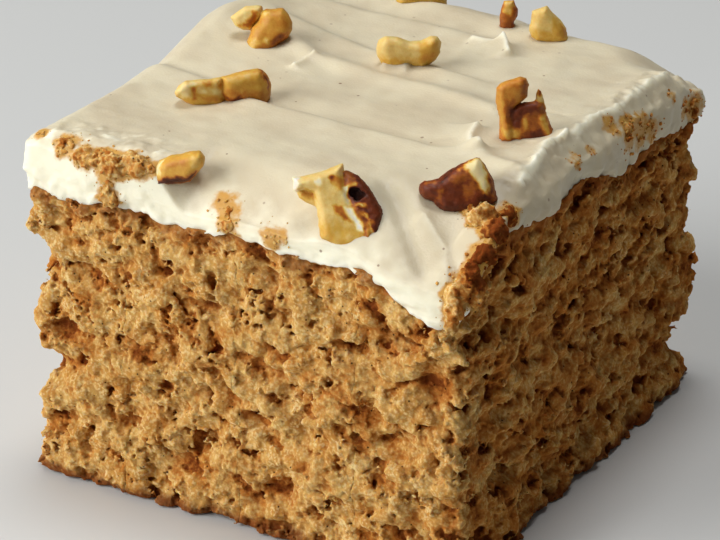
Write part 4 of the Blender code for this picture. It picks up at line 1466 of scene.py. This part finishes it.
class StageSettings(bpy.types.PropertyGroup):
    """Floor, light and camera."""

    floor: shade("Floor", (206, 207, 205), "The pale floor")
    light: bpy.props.FloatProperty(
        name="Light", description="Power of the main light", default=12.6, unit="POWER")
    sky: bpy.props.FloatProperty(
        name="Sky", description="Power of the soft light above", default=7.5, unit="POWER")
    fill: bpy.props.FloatProperty(
        name="Fill", description="Strength of the light from all round", default=0.07)


class CAKE_OT_crumb(bpy.types.Operator):
    """Make the spice crumb with its torn cut faces"""

    bl_idname = "cake.crumb"
    bl_label = "Spice crumb"

    def execute(self, context):
        settings = context.scene.cake_crumb
        tree = crumb_tree()
        finish = crumb_material(settings)
        for name, low, high, coarse in CRUMB_SLABS:
            slab = grown(merged_copy("crumb", name + "_guide"), tree, {
                "Low": packed_place(low), "High": packed_place(high),
                "Grain": settings.grain * coarse, "Pores": settings.pores,
                "Finish": finish}, name)
            hand_over(slab, "crumb")
        return {"FINISHED"}


class CAKE_OT_frosting(bpy.types.Operator):
    """Make the frosting with its knife marks"""

    bl_idname = "cake.frosting"
    bl_label = "Frosting"

    def execute(self, context):
        settings = context.scene.cake_frosting
        points, faces, up = frosting_skin(settings.spacing / MM)
        points = frosting_relief(points, up)
        made = mesh_object(
            "frosting_skin", points, faces, frosting_material(settings),
            {"crumbs": cluster_share(points), "fresh": fresh_share(points)})
        hand_over(made, "frosting")
        return {"FINISHED"}


class CAKE_OT_walnuts(bpy.types.Operator):
    """Make the walnut pieces"""

    bl_idname = "cake.walnuts"
    bl_label = "Walnut pieces"

    def execute(self, context):
        settings = context.scene.cake_walnuts
        finish = walnut_material(settings)
        for name, piece in WALNUTS.items():
            made = walnut_piece(name, piece, settings.voxel / MM, finish)
            hand_over(made, name)
        return {"FINISHED"}


class CAKE_OT_crumbs(bpy.types.Operator):
    """Strew crumbs over the frosting"""

    bl_idname = "cake.crumbs"
    bl_label = "Loose crumbs"

    def execute(self, context):
        settings = context.scene.cake_crumbs
        frosting = bpy.data.objects["frosting_skin"].data
        finish = bpy.data.materials["Spice crumb"]
        tree = stuck_tree()
        for name, low, high in CLUMP_BOXES:
            clump = grown(linked(name + "_guide", frosting), tree, {
                "Low": packed_place(low), "High": packed_place(high),
                "Grain": settings.grain, "Finish": finish}, name)
            hand_over(clump, "frosting")
        lumps = bpy.data.collections.new("Lumps")
        for seed in range(LUMP_SHAPES):
            lump("lump_" + str(seed), seed, lumps)
        strewn = grown(linked("strewn_guide", frosting), scatter_tree(), {
            "Lumps": lumps, "Density": settings.density, "Smallest": settings.smallest,
            "Largest": settings.largest, "Seed": STREWN_SEED, "Finish": finish},
            "crumbs_on_frosting")
        for spare in list(lumps.objects):
            bpy.data.objects.remove(spare)
        bpy.data.collections.remove(lumps)
        hand_over(strewn, "frosting")
        return {"FINISHED"}


def soft_light(name, place, size, power):
    """A round light of this size in metres, aimed at the middle of the slice."""
    glow = bpy.data.lights.new(name, "AREA")
    glow.shape = "DISK"
    glow.size = size
    glow.energy = power
    lamp = linked(name, glow)
    lamp.location = place
    aim = Vector(LIGHT_AIM) - lamp.location
    lamp.rotation_euler = aim.to_track_quat("-Z", "Y").to_euler()


class CAKE_OT_stage(bpy.types.Operator):
    """Make the floor, the lights and the camera"""

    bl_idname = "cake.stage"
    bl_label = "Floor, light and camera"

    def execute(self, context):
        settings = context.scene.cake_stage
        for spare in [thing for thing in context.scene.objects if thing.name == "Cube"]:
            bpy.data.objects.remove(spare)
        bpy.ops.mesh.primitive_plane_add(size=FLOOR_SIZE, location=(0, 0, -FLOOR_GAP))
        floor = context.object
        floor.name = "floor"
        pale = bpy.data.materials.new("Pale floor")
        pale.use_nodes = True
        shader = pale.node_tree.nodes["Principled BSDF"]
        shader.inputs["Base Color"].default_value = settings.floor
        shader.inputs["Roughness"].default_value = 0.6
        floor.data.materials.append(pale)
        lens = bpy.data.cameras.new("camera")
        lens.lens = CAMERA_LENS
        lens.sensor_width = CAMERA_SENSOR
        camera = linked("camera", lens)
        aim = Vector(CAMERA_AIM) - Vector(CAMERA_PLACE)
        camera.location = Vector(CAMERA_PLACE) * MM
        camera.rotation_euler = aim.to_track_quat("-Z", "Y").to_euler()
        context.scene.camera = camera
        soft_light("window", *WINDOW, settings.light)
        soft_light("sky", *SKY, settings.sky)
        world = bpy.data.worlds.new("Soft room")
        world.use_nodes = True
        sky = world.node_tree.nodes["Background"]
        sky.inputs["Color"].default_value = (1.0, 1.0, 1.0, 1.0)
        sky.inputs["Strength"].default_value = settings.fill
        context.scene.world = world
        context.scene.view_settings.view_transform = "Standard"
        return {"FINISHED"}


class CAKE_PT_panel(bpy.types.Panel):
    """Lists the pieces of the slice in the 3D view's sidebar"""

    bl_idname = "CAKE_PT_panel"
    bl_label = "Spice cake slice"
    bl_space_type = "VIEW_3D"
    bl_region_type = "UI"
    bl_category = "Cake"

    def draw(self, context):
        for operator in OPERATORS:
            self.layout.operator(operator.bl_idname)
        for name, group in SETTINGS:
            box = self.layout.box()
            for key in group.__annotations__:
                box.prop(getattr(context.scene, name), key)


SETTINGS = (
    ("cake_crumb", CrumbSettings), ("cake_frosting", FrostingSettings),
    ("cake_walnuts", WalnutSettings), ("cake_crumbs", CrumbsSettings),
    ("cake_stage", StageSettings),
)
OPERATORS = (CAKE_OT_crumb, CAKE_OT_frosting, CAKE_OT_walnuts, CAKE_OT_crumbs, CAKE_OT_stage)


def register():
    for name, group in SETTINGS:
        bpy.utils.register_class(group)
        setattr(bpy.types.Scene, name, bpy.props.PointerProperty(type=group))
    for operator in OPERATORS:
        bpy.utils.register_class(operator)
    bpy.utils.register_class(CAKE_PT_panel)


def unregister():
    bpy.utils.unregister_class(CAKE_PT_panel)
    for operator in reversed(OPERATORS):
        bpy.utils.unregister_class(operator)
    for name, group in reversed(SETTINGS):
        delattr(bpy.types.Scene, name)
        bpy.utils.unregister_class(group)


def main():
    """Makes every piece."""
    register()
    bpy.ops.cake.crumb()
    bpy.ops.cake.frosting()
    bpy.ops.cake.walnuts()
    bpy.ops.cake.crumbs()
    bpy.ops.cake.stage()


if __name__ == "__main__":
    main()
